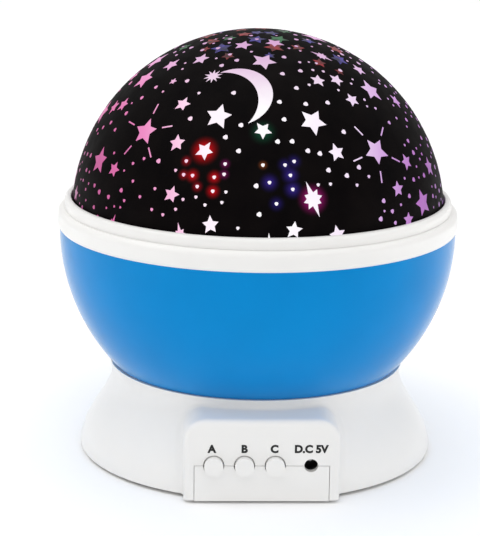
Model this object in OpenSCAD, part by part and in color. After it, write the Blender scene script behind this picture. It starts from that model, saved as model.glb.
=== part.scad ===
// Star night light projector: a printed dome on a turning bowl, carried by a flared base
// with three push buttons, a round power inlet and a battery compartment under it.
// Millimetres, +Z up. The origin is on the floor, on the axis that the bowl turns about.
// The control box with the buttons faces -Y.

/* [Bowl] */
// Outer radius of the bowl's sphere
bowl_r = 63.6; // [60:0.1:72]
// How far the centre of the bowl's sphere lies below the bowl's edge
bowl_sink = 1.1; // [0:0.1:3]
// Wall of the bowl
bowl_wall = 2; // [1.5:0.1:2]
// Play round the bowl where it turns in the base's neck
bowl_gap = 0.3; // [0.2:0.05:0.6]
// Radius of the tray's opening round the lamp head
tray_hole_r = 17.5; // [16.5:0.1:24]
// Thickness of the reflector tray
tray_t = 1.2; // [0.8:0.1:1.6]
// How far the tray dips towards its middle
tray_dip = 4; // [2:0.1:5]

/* [Collar and trim ring] */
// How far the trim ring stands out of the bowl
ring_out = 0.5; // [0:0.1:3]
// Height of the trim ring above the bowl's edge
ring_h = 6.2; // [6:0.1:7]
// Radius that rounds the trim ring's upper edge
ring_round = 2; // [1:0.1:3]
// Step in from the trim ring to the collar
collar_step = 2.2; // [1:0.1:3]
// Height of the visible band of the collar
collar_h = 3.4; // [2.5:0.1:5]
// Seam between the collar and the trim ring
collar_seam = 0.15; // [0.1:0.05:0.4]
// How far the collar's skirt reaches down into the trim ring
collar_skirt_h = 4.8; // [4.2:0.1:5]
// Step in from the collar to its skirt
skirt_step = 1.6; // [1.2:0.1:2]
// Wall of the collar's skirt
skirt_t = 3; // [2.6:0.1:3.4]
// Number of bayonet lugs on the collar
lug_count = 4; // [3:1:5]
// Height of a bayonet lug
lug_h = 1.8; // [1.2:0.1:1.9]
// How far a lug stands out of the skirt
lug_out = 1.2; // [0.8:0.1:1.3]
// Angle that a lug covers, in degrees
lug_angle = 12; // [8:1:14]
// Turn that takes the lugs to their entry notches, in degrees
twist_angle = 20; // [18:1:26]

/* [Dome] */
// Width of the collar's ledge round the dome
dome_ledge = 2.1; // [1.8:0.1:4]
// Height of the centre of the dome's sphere above the bowl's edge
dome_rise = 2.8; // [0:0.1:5]
// Wall of the dome
dome_wall = 1.6; // [1:0.1:2]

/* [Base] */
// Outer radius of the base's lower edge
base_r = 57.3; // [54:0.1:62]
// Radius of the base's neck
neck_r = 46.9; // [45:0.1:48]
// How far the thin lip stands out of the top of the neck
lip_out = 0.6; // [0.3:0.1:1.5]
// Width of the lip's rim beside the bowl
rim_w = 0.6; // [0.5:0.1:2]
// Height of the base's lower edge above the floor
skirt_gap = 1.2; // [1:0.1:1.5]
// Height of the straight part of the neck above the flare
neck_h = 2.5; // [1:0.1:6]
// Height of the neck's top above the deck inside it
well_depth = 11; // [9:0.1:12]
// Wall of the base
base_wall = 2; // [1.6:0.1:2.2]
// Thickness of the deck
deck_t = 2; // [1.6:0.1:2]

/* [Control box] */
// Width of the control box
box_w = 47.4; // [44:0.1:54]
// How far the control box's face stands out of the base's lower edge
box_out = 0.2; // [0:0.1:3]
// Drop from the top of the neck to the top of the control box
box_drop = 3; // [2:0.1:4]
// Wall of the control box
box_wall = 2.2; // [1.8:0.1:2.4]
// Radius of the face's upper corners
box_corner = 6.7; // [4:0.1:8]
// Radius that rounds the edge of the face
box_edge = 1.8; // [0.5:0.1:2]
// Height of the box's lower edge above the floor
box_bottom = 1; // [0.9:0.1:1.4]
// Width of the box's face on each side of the cover's front wall
cheek_w = 3.1; // [3:0.1:5]
// Gap round the cover's front wall
insert_gap = 0.15; // [0.1:0.05:0.3]
// Height of the line of buttons, which is the seam in the face
button_z = 12.2; // [12:0.1:12.8]
// Place of the first button across the face
button_x = -14.6; // [-16:0.1:-14]
// Distance from each button to the next
button_pitch = 9.3; // [8.6:0.1:9.6]
// Diameter of a button
button_d = 5.8; // [5:0.1:6]
// Gap round a button in its hole
button_gap = 0.3; // [0.15:0.05:0.4]
// How far a button stands out of the face
button_out = 2; // [1.6:0.1:3.4]
// Travel of a button
button_travel = 0.9; // [0.6:0.1:1]
// Distance of the power inlet from the last button
jack_pitch = 10.9; // [9.6:0.1:11.4]
// Bore of the power inlet, through the face and through the socket's mouth
jack_bore_d = 4.2; // [4:0.1:4.6]
// Length of the socket's mouth
jack_mouth = 3.5; // [3:0.1:4]

/* [Batteries] */
// Diameter of a battery cell
cell_d = 10.5; // [10:0.1:11]
// Length of a battery cell, with its nub
cell_l = 44.5; // [42:0.1:46]
// Number of cells side by side
cell_count = 4; // [2:1:4]
// Gap between neighbouring cells
cell_gap = 0.1; // [0.1:0.05:0.2]
// Length of a compressed battery spring
spring_l = 4.9; // [3:0.1:5]
// Wall of the battery compartment
tray_wall = 1.2; // [1:0.1:1.3]
// Gap between the gearbox and the battery compartment
tray_space = 5.3; // [4:0.1:7]

/* [Bottom cover] */
// Height of the underside of the bottom cover
cover_z = 1.6; // [1.5:0.1:1.8]
// Thickness of the bottom cover
cover_t = 2; // [1.8:0.1:2.2]
// Gap between the cover and the base's wall
cover_gap = 0.4; // [0.3:0.1:0.6]
// Radius of a rubber foot
foot_r = 5; // [4:0.1:5.5]
// Depth of the recess that holds a foot
foot_recess = 1; // [0.6:0.1:1.1]
// Radius of a cover screw's shank
cover_screw_r = 1.25; // [1:0.05:1.4]
// Length of a cover screw's shank
cover_screw_l = 8; // [6:0.5:9]

/* [Drive] */
// Module of the gear teeth
gear_module = 0.8; // [0.76:0.01:0.82]
// Height of the gear under the bowl
gear_h = 4.2; // [3.6:0.1:5]
// Teeth of the gear under the bowl
globe_teeth = 54; // [50:2:54]
// Teeth of the motor's pinion
pinion_teeth = 18; // [17:1:18]
// Play between the flanks of the teeth
backlash = 0.15; // [0.12:0.01:0.25]
// Radius of the fixed boss that the bowl turns on
boss_r = 11; // [10:0.1:11.5]
// Radial running clearance of the bowl on its boss
run_gap = 0.06; // [0.04:0.01:0.1]
// Diameter of the gear motor's output shaft
shaft_d = 3; // [2.5:0.1:3.4]
// Size of the gearbox across the base
gearbox_w = 30; // [28:0.5:32]
// Size of the gearbox from front to back
gearbox_d = 21; // [18:0.5:22]
// Diameter of the motor's can
motor_d = 11.6; // [10:0.1:11.8]
// Length of the motor's can
motor_l = 15; // [12:0.5:15.5]

/* [Lamp head] */
// Outer radius of the hollow lamp post
post_r = 5.5; // [5:0.1:6]
// Bore of the lamp post
post_bore_r = 3.5; // [3:0.1:3.8]
// Depth of the lamp head's underside below the bowl's edge
head_drop = 8; // [6:0.5:14]
// Radius of the lamp head
head_r = 15.5; // [14.5:0.1:16]
// Diameter of a lamp
led_d = 5; // [3:0.5:5]
// Height of a lamp above its board
led_h = 8.6; // [5:0.1:9]
// Distance of each lamp from the axis
led_ring = 9; // [6:0.1:11]

/* [Hidden] */
$fn = 96;

shell_white = [0.95, 0.95, 0.95];
bowl_blue = [0.05, 0.47, 0.80];
board_green = [0.10, 0.38, 0.22];
steel = [0.72, 0.72, 0.74];
small_fn = 32;
eps = 0.01;

// Cover, battery compartment and deck, from the floor up
cover_top = cover_z + cover_t;
cell_play = 0.2;
bay_roof = 1;
wire_room = 1.2;
bay_top = cover_top + cell_d + cell_play;
deck_z = bay_top + bay_roof + wire_room;
deck_top = deck_z + deck_t;
base_top = deck_top + well_depth;
flare_h = base_top - skirt_gap - neck_h;
lip_r = neck_r + lip_out;

// The bowl: its sphere passes the lip's rim with the gap round it
rim_r = lip_r - rim_w;
bowl_centre_z = base_top + leg(bowl_r + bowl_gap, rim_r);
bowl_z = bowl_centre_z + bowl_sink;
washer_t = 1.2;
washer_w = 5;
washer_play = 0.1;
gear_z = deck_top + washer_t + washer_play;
bowl_floor_z = gear_z + gear_h;
bowl_floor_top = bowl_floor_z + bowl_wall;

// Radii and heights of the stacked rings, from the bowl's edge up
ring_r = bowl_r + ring_out;
collar_r = ring_r - collar_step;
skirt_r = collar_r - skirt_step;
skirt_bore_r = skirt_r - skirt_t;
ring_top = bowl_z + ring_h;
collar_z = ring_top + collar_seam;
collar_top = collar_z + collar_h;
dome_r = collar_r - dome_ledge;
dome_z = bowl_z + dome_rise;
dome_top = dome_z + dome_r;
dome_gap = 0.15;

// The bayonet groove inside the trim ring
seat_h = 1.2;
groove_lip = 2;
groove_play = 0.3;
groove_z = bowl_z + seat_h;
groove_r = skirt_r + lug_out + groove_play;
groove_top = ring_top - groove_lip;
lug_play = 0.2;
lug_z = groove_top - lug_play - lug_h;
skirt_play = 0.25;
notch_angle = lug_angle + 4;
stop_angle = 3;

// The trim ring's spigot inside the bowl, and the ledge for the tray
spigot_h = 4;
spigot_gap = 0.4;
spigot_r = bowl_r - bowl_wall - spigot_gap;
spigot_t = 1.5;
ledge_t = 1.2;
ledge_w = 1.8;
tray_play = 0.2;
tray_flat = 4;
tray_z = bowl_z - spigot_h;

// Gear geometry
pressure_angle = 20;
globe_pitch_r = gear_module * globe_teeth / 2;
globe_root_r = globe_pitch_r - 1.25 * gear_module;
pinion_pitch_r = gear_module * pinion_teeth / 2;
gear_distance = globe_pitch_r + pinion_pitch_r;
pinion_h = gear_h - 0.6;
pinion_top = gear_z + pinion_h;
flat_cut = 0.5;

// The bowl's bearing: gear, boss and washer under the bowl's floor
hub_wall = 4;
hub_rise = 1;
hub_play = 0.1;
hub_r = boss_r + hub_wall;
hub_top = bowl_floor_top + hub_rise;
boss_top = hub_top + 0.3;
post_spigot_h = 7;
post_spigot_gap = 0.1;
flange_r = hub_r - 0.5;
flange_t = 2;
small_screw_r = 0.9;
post_screw_x = (post_r + boss_r) / 2;
post_screw_grip = 6;
post_screw_l = flange_t + post_screw_grip;
gear_screw_ring = (hub_r + globe_root_r) / 2;
gear_screw_count = 3;
gear_screw_grip = 3;
gear_screw_l = bowl_wall + gear_screw_grip;
thread_room = 0.6;

// Gear motor under the deck
gearbox_top = deck_z - 0.2;
gearbox_z = cover_top + 0.8;
gearbox_boss_r = 3.4;
gearbox_boss_gap = 0.3;
gearbox_boss_top = deck_top + 0.3;
gearbox_back = gearbox_d / 2 - gear_distance;
gearbox_side = gearbox_w / 2;
shaft_depth = 7;
shaft_bottom = deck_z - shaft_depth;
ear_t = 1.5;
ear_drop = 3;
ear_z = deck_z - ear_drop - ear_t;
ear_r = 2.8;
ear_out = 3;
ear_left = [-gearbox_side - ear_out, -gear_distance];
ear_right = [gearbox_side + ear_out, gearbox_back - 1];
motor_z = (gearbox_z + gearbox_top) / 2;
motor_flat = 0.8;
motor_cap_l = 2;

// Control box
box_top = base_top - box_drop;
box_inner_w = box_w - 2 * box_wall;
box_inner_top = box_top - box_wall;
face_y = -base_r - box_out;
wall_back_y = face_y + box_wall;
insert_w = box_w - 2 * cheek_w;
insert_half = insert_w / 2 - insert_gap;
insert_bottom = box_bottom - 0.2;
flange_gap = 0.2;
button_flange_t = 1;
button_flange_d = button_d + 2;
button_tail_d = 3;
button_tail_l = 0.5;
button_places = [for (i = [0:2]) button_x + i * button_pitch];
jack_x = button_places[2] + jack_pitch;
button_flange_y = wall_back_y + flange_gap;
button_back_y = button_flange_y + button_flange_t + button_tail_l;
plunger_d = 3.2;
plunger_l = 1.5;
plunger_gap = 0.2;
plunger_in = 0.3;
plunger_y = button_back_y + plunger_gap;
switch_t = 3.5;
switch_w = 6;
switch_y = plunger_y + plunger_l - plunger_in;
switch_hole = plunger_in + button_travel + 0.4;
board_t = 1.6;
board_y = switch_y + switch_t;
board_back = board_y + board_t;
board_w = box_inner_w - 0.6;
board_z = cover_top + 1;
board_top = deck_z - 0.3;
board_rib = 0.9;
board_rib_out = 1.4;
rib_gap = 0.15;
box_reach = 6;
box_back = min(neck_r, -board_back) - box_reach;

// Power inlet
jack_w = 6.6;
jack_gap = 0.1;
jack_y = wall_back_y + jack_gap;
jack_l = board_y - jack_y;
jack_end = 1;
jack_barrel_d = jack_bore_d + 0.6;
jack_pin_d = 1.6;
jack_pin_gap = 0.6;

// Battery compartment
cell_pitch = cell_d + cell_gap;
contact_t = 0.4;
bay_l = cell_l + spring_l + 2 * contact_t + 0.4;
bay_w = cell_count * cell_pitch;
tray_front = gearbox_back + tray_space;
bay_y = tray_front + tray_wall;
bay_back = bay_y + bay_w;
tray_side = bay_l / 2 + tray_wall;
tray_back = bay_back + tray_wall;
cell_z = cover_top + cell_d / 2;
contact_w = cell_pitch - 2;
contact_h = 8;
contact_link = 2;
spring_wire = 0.7;
spring_turns = 3.5;
spring_base_r = 3.6;
spring_taper = 1.4;
nub_d = 3.8;
nub_l = 1;

// Battery door, its hinge and its screw
door_gap = 0.3;
door_t = 1.2;
door_w = bay_l - 1;
door_y = bay_y + 0.5;
door_back = bay_back - 0.5;
hinge_r = 0.8;
hinge_pin_r = 0.5;
hinge_pin_l = 1;
hinge_end_gap = 0.2;
hinge_y = door_y - hinge_r;
hinge_z = cover_z + hinge_r;
hinge_w = 8;
hinge_x = 14;
tab_w = 12;
tab_l = 4;
door_boss_r = 3.4;
door_boss_h = 5;
door_screw_r = 1.2;
door_screw_l = 5.5;
door_screw_head = 0.9;
door_screw_play = 0.5;
door_screw_y = tray_back + tab_l;

// Feet and cover screws
foot_inset = 9.3;
foot_ring = base_r - foot_inset;
foot_angles = [46, 134, 226, 314];
foot_play = 0.1;
cover_screw_inset = 15.5;
cover_screw_ring = base_r - cover_screw_inset;
cover_screw_angles = [-18, 29, 151, 198];
cover_boss_r = 3.2;
cover_boss_h = 2;
cover_boss_gap = 0.2;
screw_head_h = 1.5;
screw_play = 0.05;
screw_hole_gap = 0.1;

// Lamp head
head_z = bowl_z - head_drop;
head_t = 1.5;
head_cone = 4;
head_top = head_z + head_t;
led_board_t = 1.6;
led_board_r = head_r - 0.5;
led_base_z = head_top + led_board_t;
led_rim_w = 0.4;
led_rim_h = 1;

// Wires
wire_d = 0.9;
wire_pitch = 1.1;
wire_sides = 8;
wire_out = 1.2;
wire_bend = 2.5;
wire_side = 9;
under_deck = deck_z - wire_d / 2 - 0.1;

// ---------------------------------------------------------------- outlines

// Radius of the base's outside at a height: a half wave from the lower edge to the neck
function flare(z) =
    let (f = min(1, max(0, (z - skirt_gap) / flare_h)))
    (base_r + neck_r) / 2 + (base_r - neck_r) / 2 * cos(180 * f);

// The other short side of a right triangle: a sphere's section, for its radius and a height
function leg(long, side) = sqrt(long * long - side * side);

// The places at some angles on a circle
function around(radius, angles) = [for (a = angles) radius * [cos(a), sin(a)]];

// Points of an arc in the plane
function arc(centre, radius, from, to, steps = 8) = [
    for (i = [0:steps])
        let (a = from + (to - from) * i / steps)
        centre + radius * [cos(a), sin(a)]
];

// Polar angle of an involute at a radius, in degrees
function involute(base, radius) =
    let (a = acos(min(1, base / radius)))
    tan(a) * 180 / PI - a;

// Outline of a spur gear with involute flanks, with a tooth centred on +X
function gear_outline(teeth, flank_steps = 4) =
    let (
        pitch_r = gear_module * teeth / 2,
        base = pitch_r * cos(pressure_angle),
        tip = pitch_r + gear_module,
        root = pitch_r - 1.25 * gear_module,
        low = max(base, root),
        half = 90 / teeth - backlash / 4 / pitch_r * 180 / PI + involute(base, pitch_r)
    )
    [
        for (k = [0:teeth - 1])
            let (
                middle = 360 * k / teeth,
                rise = [for (i = [0:flank_steps])
                    let (r = low + (tip - low) * i / flank_steps) [r, half - involute(base, r)]],
                fall = [for (i = [0:flank_steps]) rise[flank_steps - i]]
            )
            for (p = concat([[root, -half - eps]], [for (q = rise) [q[0], -q[1]]], fall,
                [[root, half + eps]]))
                p[0] * [cos(middle + p[1]), sin(middle + p[1])]
    ];

// ---------------------------------------------------------------- helpers

// A cylinder between two heights
module post(radius, low, high, fn = 96) {
    translate([0, 0, low]) cylinder(r = radius, h = high - low, $fn = fn);
}

// A ring between two heights
module ring(outer, inner, low, high) {
    rotate_extrude() translate([inner, low]) square([outer - inner, high - low]);
}

// A box between two corners
module block(low, high) {
    translate(low) cube(high - low);
}

// A part of a ring that covers an angle, centred on an angle
module ring_sector(outer, inner, low, high, middle, angle) {
    rotate([0, 0, middle - angle / 2])
        rotate_extrude(angle = angle) translate([inner, low]) square([outer - inner, high - low]);
}

// A cylinder along Y between two places
module peg_y(radius, x, z, low, high, fn = 48) {
    translate([x, low, z]) rotate([-90, 0, 0]) cylinder(r = radius, h = high - low, $fn = fn);
}

// A screw with a pan head, its head downwards and its tip at the given height above the head
module screw(radius, length) {
    cylinder(r = 2 * radius, h = screw_head_h, $fn = small_fn);
    translate([0, 0, screw_head_h]) cylinder(r = radius, h = length, $fn = small_fn);
}

// A tube swept along a route, with its ring of points carried along without twist
module sweep_tube(route, diameter, sides) {
    last = len(route) - 1;
    tangents = [for (i = [0:last])
        let (d = route[min(i + 1, last)] - route[max(i - 1, 0)]) d / norm(d)];
    start = abs(tangents[0][2]) < 0.9 ? [0, 0, 1] : [1, 0, 0];
    sides_first = cross(tangents[0], start);
    frames = carry(tangents, sides_first / norm(sides_first), 0);
    points = [for (i = [0:last], j = [0:sides - 1])
        let (a = 360 * j / sides, u = frames[i], v = cross(tangents[i], u))
        route[i] + diameter / 2 * (cos(a) * u + sin(a) * v)];
    walls = [for (i = [0:last - 1], j = [0:sides - 1])
        let (k = (j + 1) % sides)
        [i * sides + j, (i + 1) * sides + j, (i + 1) * sides + k, i * sides + k]];
    first_cap = [for (j = [0:sides - 1]) j];
    last_cap = [for (j = [0:sides - 1]) last * sides + sides - 1 - j];
    polyhedron(points, concat([first_cap, last_cap], walls), convexity = 6);
}

// The side vectors along a route: each is the one before it, squared to the next tangent
function carry(tangents, side, i) =
    let (flat = side - (side * tangents[i]) * tangents[i], u = flat / norm(flat))
    i == len(tangents) - 1 ? [u] : concat([u], carry(tangents, u, i + 1));

// ---------------------------------------------------------------- base

// The inside of the skirt, from the deck down to its lower edge
function skirt_inside(steps) = [
    for (i = [0:steps])
        let (z = deck_z - (deck_z - skirt_gap) * i / steps) [flare(z) - base_wall, z]
];

// The base's skirt, neck and deck as one revolved wall
module base_wall_profile() {
    steps = 20;
    outside = [for (i = [0:steps])
        let (z = skirt_gap + flare_h * i / steps) [flare(z), z]];
    well_r = neck_r - base_wall;
    well_top = bowl_centre_z - leg(bowl_r + bowl_gap, well_r);
    polygon(concat(
        outside,
        [[lip_r, base_top], [rim_r, base_top], [well_r, well_top]],
        [[well_r, deck_top], [0, deck_top], [0, deck_z]],
        skirt_inside(steps)
    ));
}

// The room inside the base that the control box's walls stay out of
module base_room() {
    rotate_extrude($fn = 128) polygon(concat(
        [[0, 0], [0, box_top + 1], [neck_r - base_wall / 2, box_top + 1], [neck_r - base_wall / 2, deck_z]],
        skirt_inside(8),
        [[base_r - base_wall, 0]]
    ));
}

// The outline of the control box's face, with its sides and its top moved in by an inset
module face_outline(inset) {
    half = box_w / 2 - inset;
    top = box_top - inset;
    corner = box_corner - inset;
    translate([-half, box_bottom]) square([2 * half, top - corner - box_bottom]);
    translate([corner - half, box_bottom]) square([2 * (half - corner), top - box_bottom]);
    for (side = [-1, 1]) translate([side * (half - corner), top - corner]) circle(r = corner, $fn = 64);
}

// The control box's outside, with a rolled edge round its face
module box_outside() {
    roll_y = face_y + box_edge;
    corner_x = box_w / 2 - box_corner;
    corner_z = box_top - box_corner;
    module slab(inset, low, high) {
        translate([0, high, 0]) rotate([90, 0, 0]) linear_extrude(high - low) face_outline(inset);
    }
    slab(0, roll_y, 0);
    slab(box_edge, face_y, roll_y + eps);
    for (side = [-1, 1]) {
        translate([side * (box_w / 2 - box_edge), roll_y, box_bottom])
            cylinder(r = box_edge, h = corner_z - box_bottom, $fn = small_fn);
        translate([side * corner_x, roll_y, corner_z]) rotate([90, side > 0 ? 0 : -90, 0])
            rotate_extrude(angle = 90, $fn = 64)
                translate([box_corner - box_edge, 0]) circle(r = box_edge, $fn = small_fn);
    }
    translate([-corner_x, roll_y, box_top - box_edge]) rotate([0, 90, 0])
        cylinder(r = box_edge, h = 2 * corner_x, $fn = small_fn);
}

// The hollow of the control box: free below the deck, and outside the neck above it
module box_hollow() {
    difference() {
        block([-box_inner_w / 2, wall_back_y, 0], [box_inner_w / 2, -box_back, box_inner_top]);
        rotate_extrude() {
            translate([0, deck_z]) square([flare(deck_z), deck_t]);
            translate([0, deck_top - eps]) square([flare(deck_top), box_top]);
        }
    }
}

// The round holes on the seam of the face, for the buttons and the plug
module face_holes() {
    for (x = button_places) peg_y(button_d / 2 + button_gap, x, button_z, face_y - 1, wall_back_y + 1);
    peg_y(jack_bore_d / 2, jack_x, button_z, face_y - 1, wall_back_y + 1);
}

// The pair of ribs on each side that hold the control board by its ends
module board_ribs() {
    reach = box_inner_w / 2 - board_rib_out;
    for (side = [-1, 1], y = [board_y - rib_gap - board_rib, board_y + board_t + rib_gap])
        block([min(side * reach, side * (box_inner_w / 2 + eps)), y, board_z],
            [max(side * reach, side * (box_inner_w / 2 + eps)), y + board_rib, deck_z + eps]);
}

module base_shell() {
    color(shell_white) difference() {
        union() {
            difference() {
                union() {
                    rotate_extrude($fn = 128) base_wall_profile();
                    difference() {
                        box_outside();
                        base_room();
                    }
                }
                box_hollow();
            }
            board_ribs();
            post(boss_r, deck_z + eps, boss_top);
            for (p = around(cover_screw_ring, cover_screw_angles)) translate(p)
                post(cover_boss_r, cover_top + cover_boss_h + cover_boss_gap, deck_z + eps, 48);
            for (p = [ear_left, ear_right]) translate(p) post(ear_r, deck_z - ear_drop, deck_z + eps, 48);
        }
        face_holes();
        block([-insert_w / 2, face_y - 1, 0], [insert_w / 2, wall_back_y + eps, button_z]);
        post(post_r, deck_z - 1, boss_top + 1);
        for (side = [-1, 1]) translate([side * post_screw_x, 0])
            post(small_screw_r + screw_play, boss_top + flange_t - post_screw_l - thread_room,
                boss_top + 1, 32);
        translate([0, -gear_distance]) post(gearbox_boss_r + gearbox_boss_gap, deck_z - 1, deck_top + 1, 48);
        for (p = around(cover_screw_ring, cover_screw_angles)) translate(p)
            post(cover_screw_r + screw_play, cover_top, cover_top + cover_screw_l + thread_room, 32);
        for (p = [ear_left, ear_right]) translate(p)
            post(small_screw_r + screw_play, deck_z - ear_drop - 1, deck_z + thread_room, 32);
    }
}

// The cover's plate, with its tongue under the control box
module cover_plate() {
    post(flare(cover_z) - base_wall - cover_gap, cover_z, cover_top);
    block([-insert_half, wall_back_y - eps, cover_z], [insert_half, -box_back, cover_top]);
}

module bottom_cover() {
    color(shell_white) difference() {
        union() {
            cover_plate();
            block([-insert_half, face_y, insert_bottom], [insert_half, wall_back_y, button_z - insert_gap]);
            block([-tray_side, tray_front, cover_z], [tray_side, tray_back, bay_top + bay_roof]);
            for (p = around(cover_screw_ring, cover_screw_angles)) translate(p)
                post(cover_boss_r, cover_z, cover_top + cover_boss_h, 48);
            translate([0, door_screw_y]) post(door_boss_r, cover_z, cover_top + door_boss_h, 48);
        }
        block([-bay_l / 2, bay_y, cover_top - eps], [bay_l / 2, bay_back, bay_top]);
        door_opening();
        for (p = around(foot_ring, foot_angles)) translate(p)
            post(foot_r + foot_play, cover_z - 1, cover_z + foot_recess, 48);
        for (p = around(cover_screw_ring, cover_screw_angles)) translate(p) {
            post(2 * (cover_screw_r + screw_hole_gap), cover_z - 1, cover_top + screw_hole_gap, 32);
            post(cover_screw_r + screw_hole_gap, cover_z, cover_top + cover_boss_h + 1, 32);
        }
        face_holes();
    }
}

// A rod on the door's hinge line that reaches past both ends of a hinge tab
module hinge_rod(side, radius, reach) {
    translate([side * hinge_x - hinge_w / 2 - reach, hinge_y, hinge_z]) rotate([0, 90, 0])
        cylinder(r = radius, h = hinge_w + 2 * reach, $fn = small_fn);
}

// The opening that the door closes, with its tabs' pockets, its hinge holes and its screw's hole
module door_opening() {
    low = cover_z - 1;
    high = cover_z + door_t + door_gap;
    half = door_w / 2 + door_gap;
    block([-half, door_y - door_gap, low], [half, door_back + door_gap, cover_top + eps]);
    block([-half, hinge_y - door_gap, low], [half, door_y, high]);
    block([-tab_w / 2 - door_gap, door_y, low],
        [tab_w / 2 + door_gap, door_screw_y + tab_l + door_gap, high]);
    for (side = [-1, 1]) {
        block([side * hinge_x - hinge_w / 2 - door_gap, hinge_y - hinge_r - door_gap, low],
            [side * hinge_x + hinge_w / 2 + door_gap, door_y, cover_z + 2 * hinge_r + door_gap]);
        hinge_rod(side, hinge_pin_r + run_gap, hinge_pin_l + door_gap + hinge_end_gap);
    }
    translate([0, door_screw_y])
        post(door_screw_r + door_screw_play, cover_z, cover_z + door_screw_l + thread_room, 32);
}

module battery_door() {
    top = cover_z + door_t;
    color(shell_white) difference() {
        union() {
            block([-door_w / 2, door_y, cover_z], [door_w / 2, door_back, top]);
            block([-tab_w / 2, door_back - eps, cover_z], [tab_w / 2, door_screw_y + tab_l, top]);
            for (side = [-1, 1]) {
                hinge_rod(side, hinge_r, 0);
                hinge_rod(side, hinge_pin_r, hinge_pin_l + door_gap);
                block([side * hinge_x - hinge_w / 2, hinge_y, cover_z],
                    [side * hinge_x + hinge_w / 2, door_y + eps, top]);
            }
        }
        translate([0, door_screw_y]) post(door_screw_r + screw_hole_gap, cover_z - 1, top + 1, 32);
    }
}

module door_screw() {
    color(steel) translate([0, door_screw_y]) {
        post(2 * door_screw_r, cover_z - door_screw_head, cover_z, 32);
        post(door_screw_r, cover_z, cover_z + door_screw_l, 32);
    }
}

module rubber_feet() {
    color([0.15, 0.15, 0.15]) for (p = around(foot_ring, foot_angles)) translate(p)
        post(foot_r, 0, cover_z + foot_recess, 48);
}

module cover_screws() {
    color(steel) for (p = around(cover_screw_ring, cover_screw_angles))
        translate([p[0], p[1], cover_top + screw_hole_gap - screw_head_h])
            screw(cover_screw_r, cover_screw_l);
}

// ---------------------------------------------------------------- electronics

module control_board() {
    color(board_green) block([-board_w / 2, board_y, board_z], [board_w / 2, board_y + board_t, board_top]);
}

module tact_switches() {
    half = switch_w / 2;
    color([0.12, 0.12, 0.13]) for (x = button_places) difference() {
        block([x - half, switch_y, button_z - half], [x + half, board_y, button_z + half]);
        peg_y(plunger_d / 2 + screw_hole_gap, x, button_z, switch_y - 1, switch_y + switch_hole, 32);
    }
}

module dc_jack() {
    half = jack_w / 2;
    back = jack_y + jack_l;
    color([0.06, 0.06, 0.07]) difference() {
        block([jack_x - half, jack_y, button_z - half], [jack_x + half, back, button_z + half]);
        peg_y(jack_bore_d / 2, jack_x, button_z, jack_y - 1, jack_y + jack_mouth);
        peg_y(jack_barrel_d / 2, jack_x, button_z, jack_y + jack_mouth - eps, back - jack_end);
    }
}

module jack_pin() {
    color(steel) peg_y(jack_pin_d / 2, jack_x, button_z, jack_y + jack_mouth + jack_pin_gap,
        jack_y + jack_l - jack_end, 24);
}

// Cell i lies along X, each the other way round from its neighbour
function cell_y(i) = bay_y + (i + 0.5) * cell_pitch;
function cell_side(i) = i % 2 == 0 ? 1 : -1;

module battery_cells() {
    color([0.16, 0.34, 0.62]) for (i = [0:cell_count - 1])
        translate([0, cell_y(i), cell_z]) rotate([0, 90 * cell_side(i), 0])
            translate([0, 0, -cell_l / 2 + spring_l / 2]) {
                cylinder(d = cell_d, h = cell_l - nub_l, $fn = 48);
                cylinder(d = nub_d, h = cell_l, $fn = 32);
            }
}

module battery_springs() {
    steps = 12 * spring_turns;
    end = bay_l / 2 - contact_t;
    color(steel) for (i = [0:cell_count - 1])
        translate([0, cell_y(i), cell_z]) rotate([0, 90 * cell_side(i), 0])
            sweep_tube([for (k = [0:steps])
                let (f = k / steps, a = 360 * spring_turns * f, r = spring_base_r - spring_taper * f)
                [r * cos(a), r * sin(a), -end + spring_wire / 2 + (spring_l - spring_wire) * f]],
                spring_wire, 6);
}

// Plates at both ends of the compartment: each joins two neighbouring cells, or ends the row
module battery_contacts() {
    color(steel) for (side = [-1, 1]) {
        outer = side * bay_l / 2;
        inner = side * (bay_l / 2 - contact_t);
        for (i = [0:cell_count - 1])
            block([min(outer, inner), cell_y(i) - contact_w / 2, cell_z - contact_h / 2],
                [max(outer, inner), cell_y(i) + contact_w / 2, cell_z + contact_h / 2]);
        for (i = [side > 0 ? 0 : 1:2:cell_count - 2])
            block([min(outer, inner), cell_y(i), cell_z + contact_h / 2 - contact_link],
                [max(outer, inner), cell_y(i + 1), cell_z + contact_h / 2]);
    }
}

// ---------------------------------------------------------------- gear motor

module gearbox_case() {
    color([0.88, 0.87, 0.83]) difference() {
        union() {
            block([-gearbox_side, gearbox_back - gearbox_d, gearbox_z],
                [gearbox_side, gearbox_back, gearbox_top]);
            translate([0, -gear_distance]) post(gearbox_boss_r, gearbox_top - eps, gearbox_boss_top, 48);
            ear(ear_left);
            ear(ear_right);
        }
        translate([0, -gear_distance])
            post(shaft_d / 2 + screw_play, shaft_bottom - gearbox_boss_gap, gearbox_boss_top + 1, 48);
        for (p = [ear_left, ear_right]) translate(p)
            post(small_screw_r + screw_hole_gap, ear_z - 1, ear_z + ear_t + 1, 32);
    }
}

// One screw ear on the gearbox, with the web that joins it to the case
module ear(p) {
    inner = sign(p[0]) * (gearbox_side - eps);
    translate(p) post(ear_r, ear_z, ear_z + ear_t, 48);
    block([min(p[0], inner), p[1] - ear_r, ear_z], [max(p[0], inner), p[1] + ear_r, ear_z + ear_t]);
}

module gearbox_screws() {
    color(steel) for (p = [ear_left, ear_right])
        translate([p[0], p[1], ear_z - screw_head_h]) screw(small_screw_r, ear_t + ear_drop);
}

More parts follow.
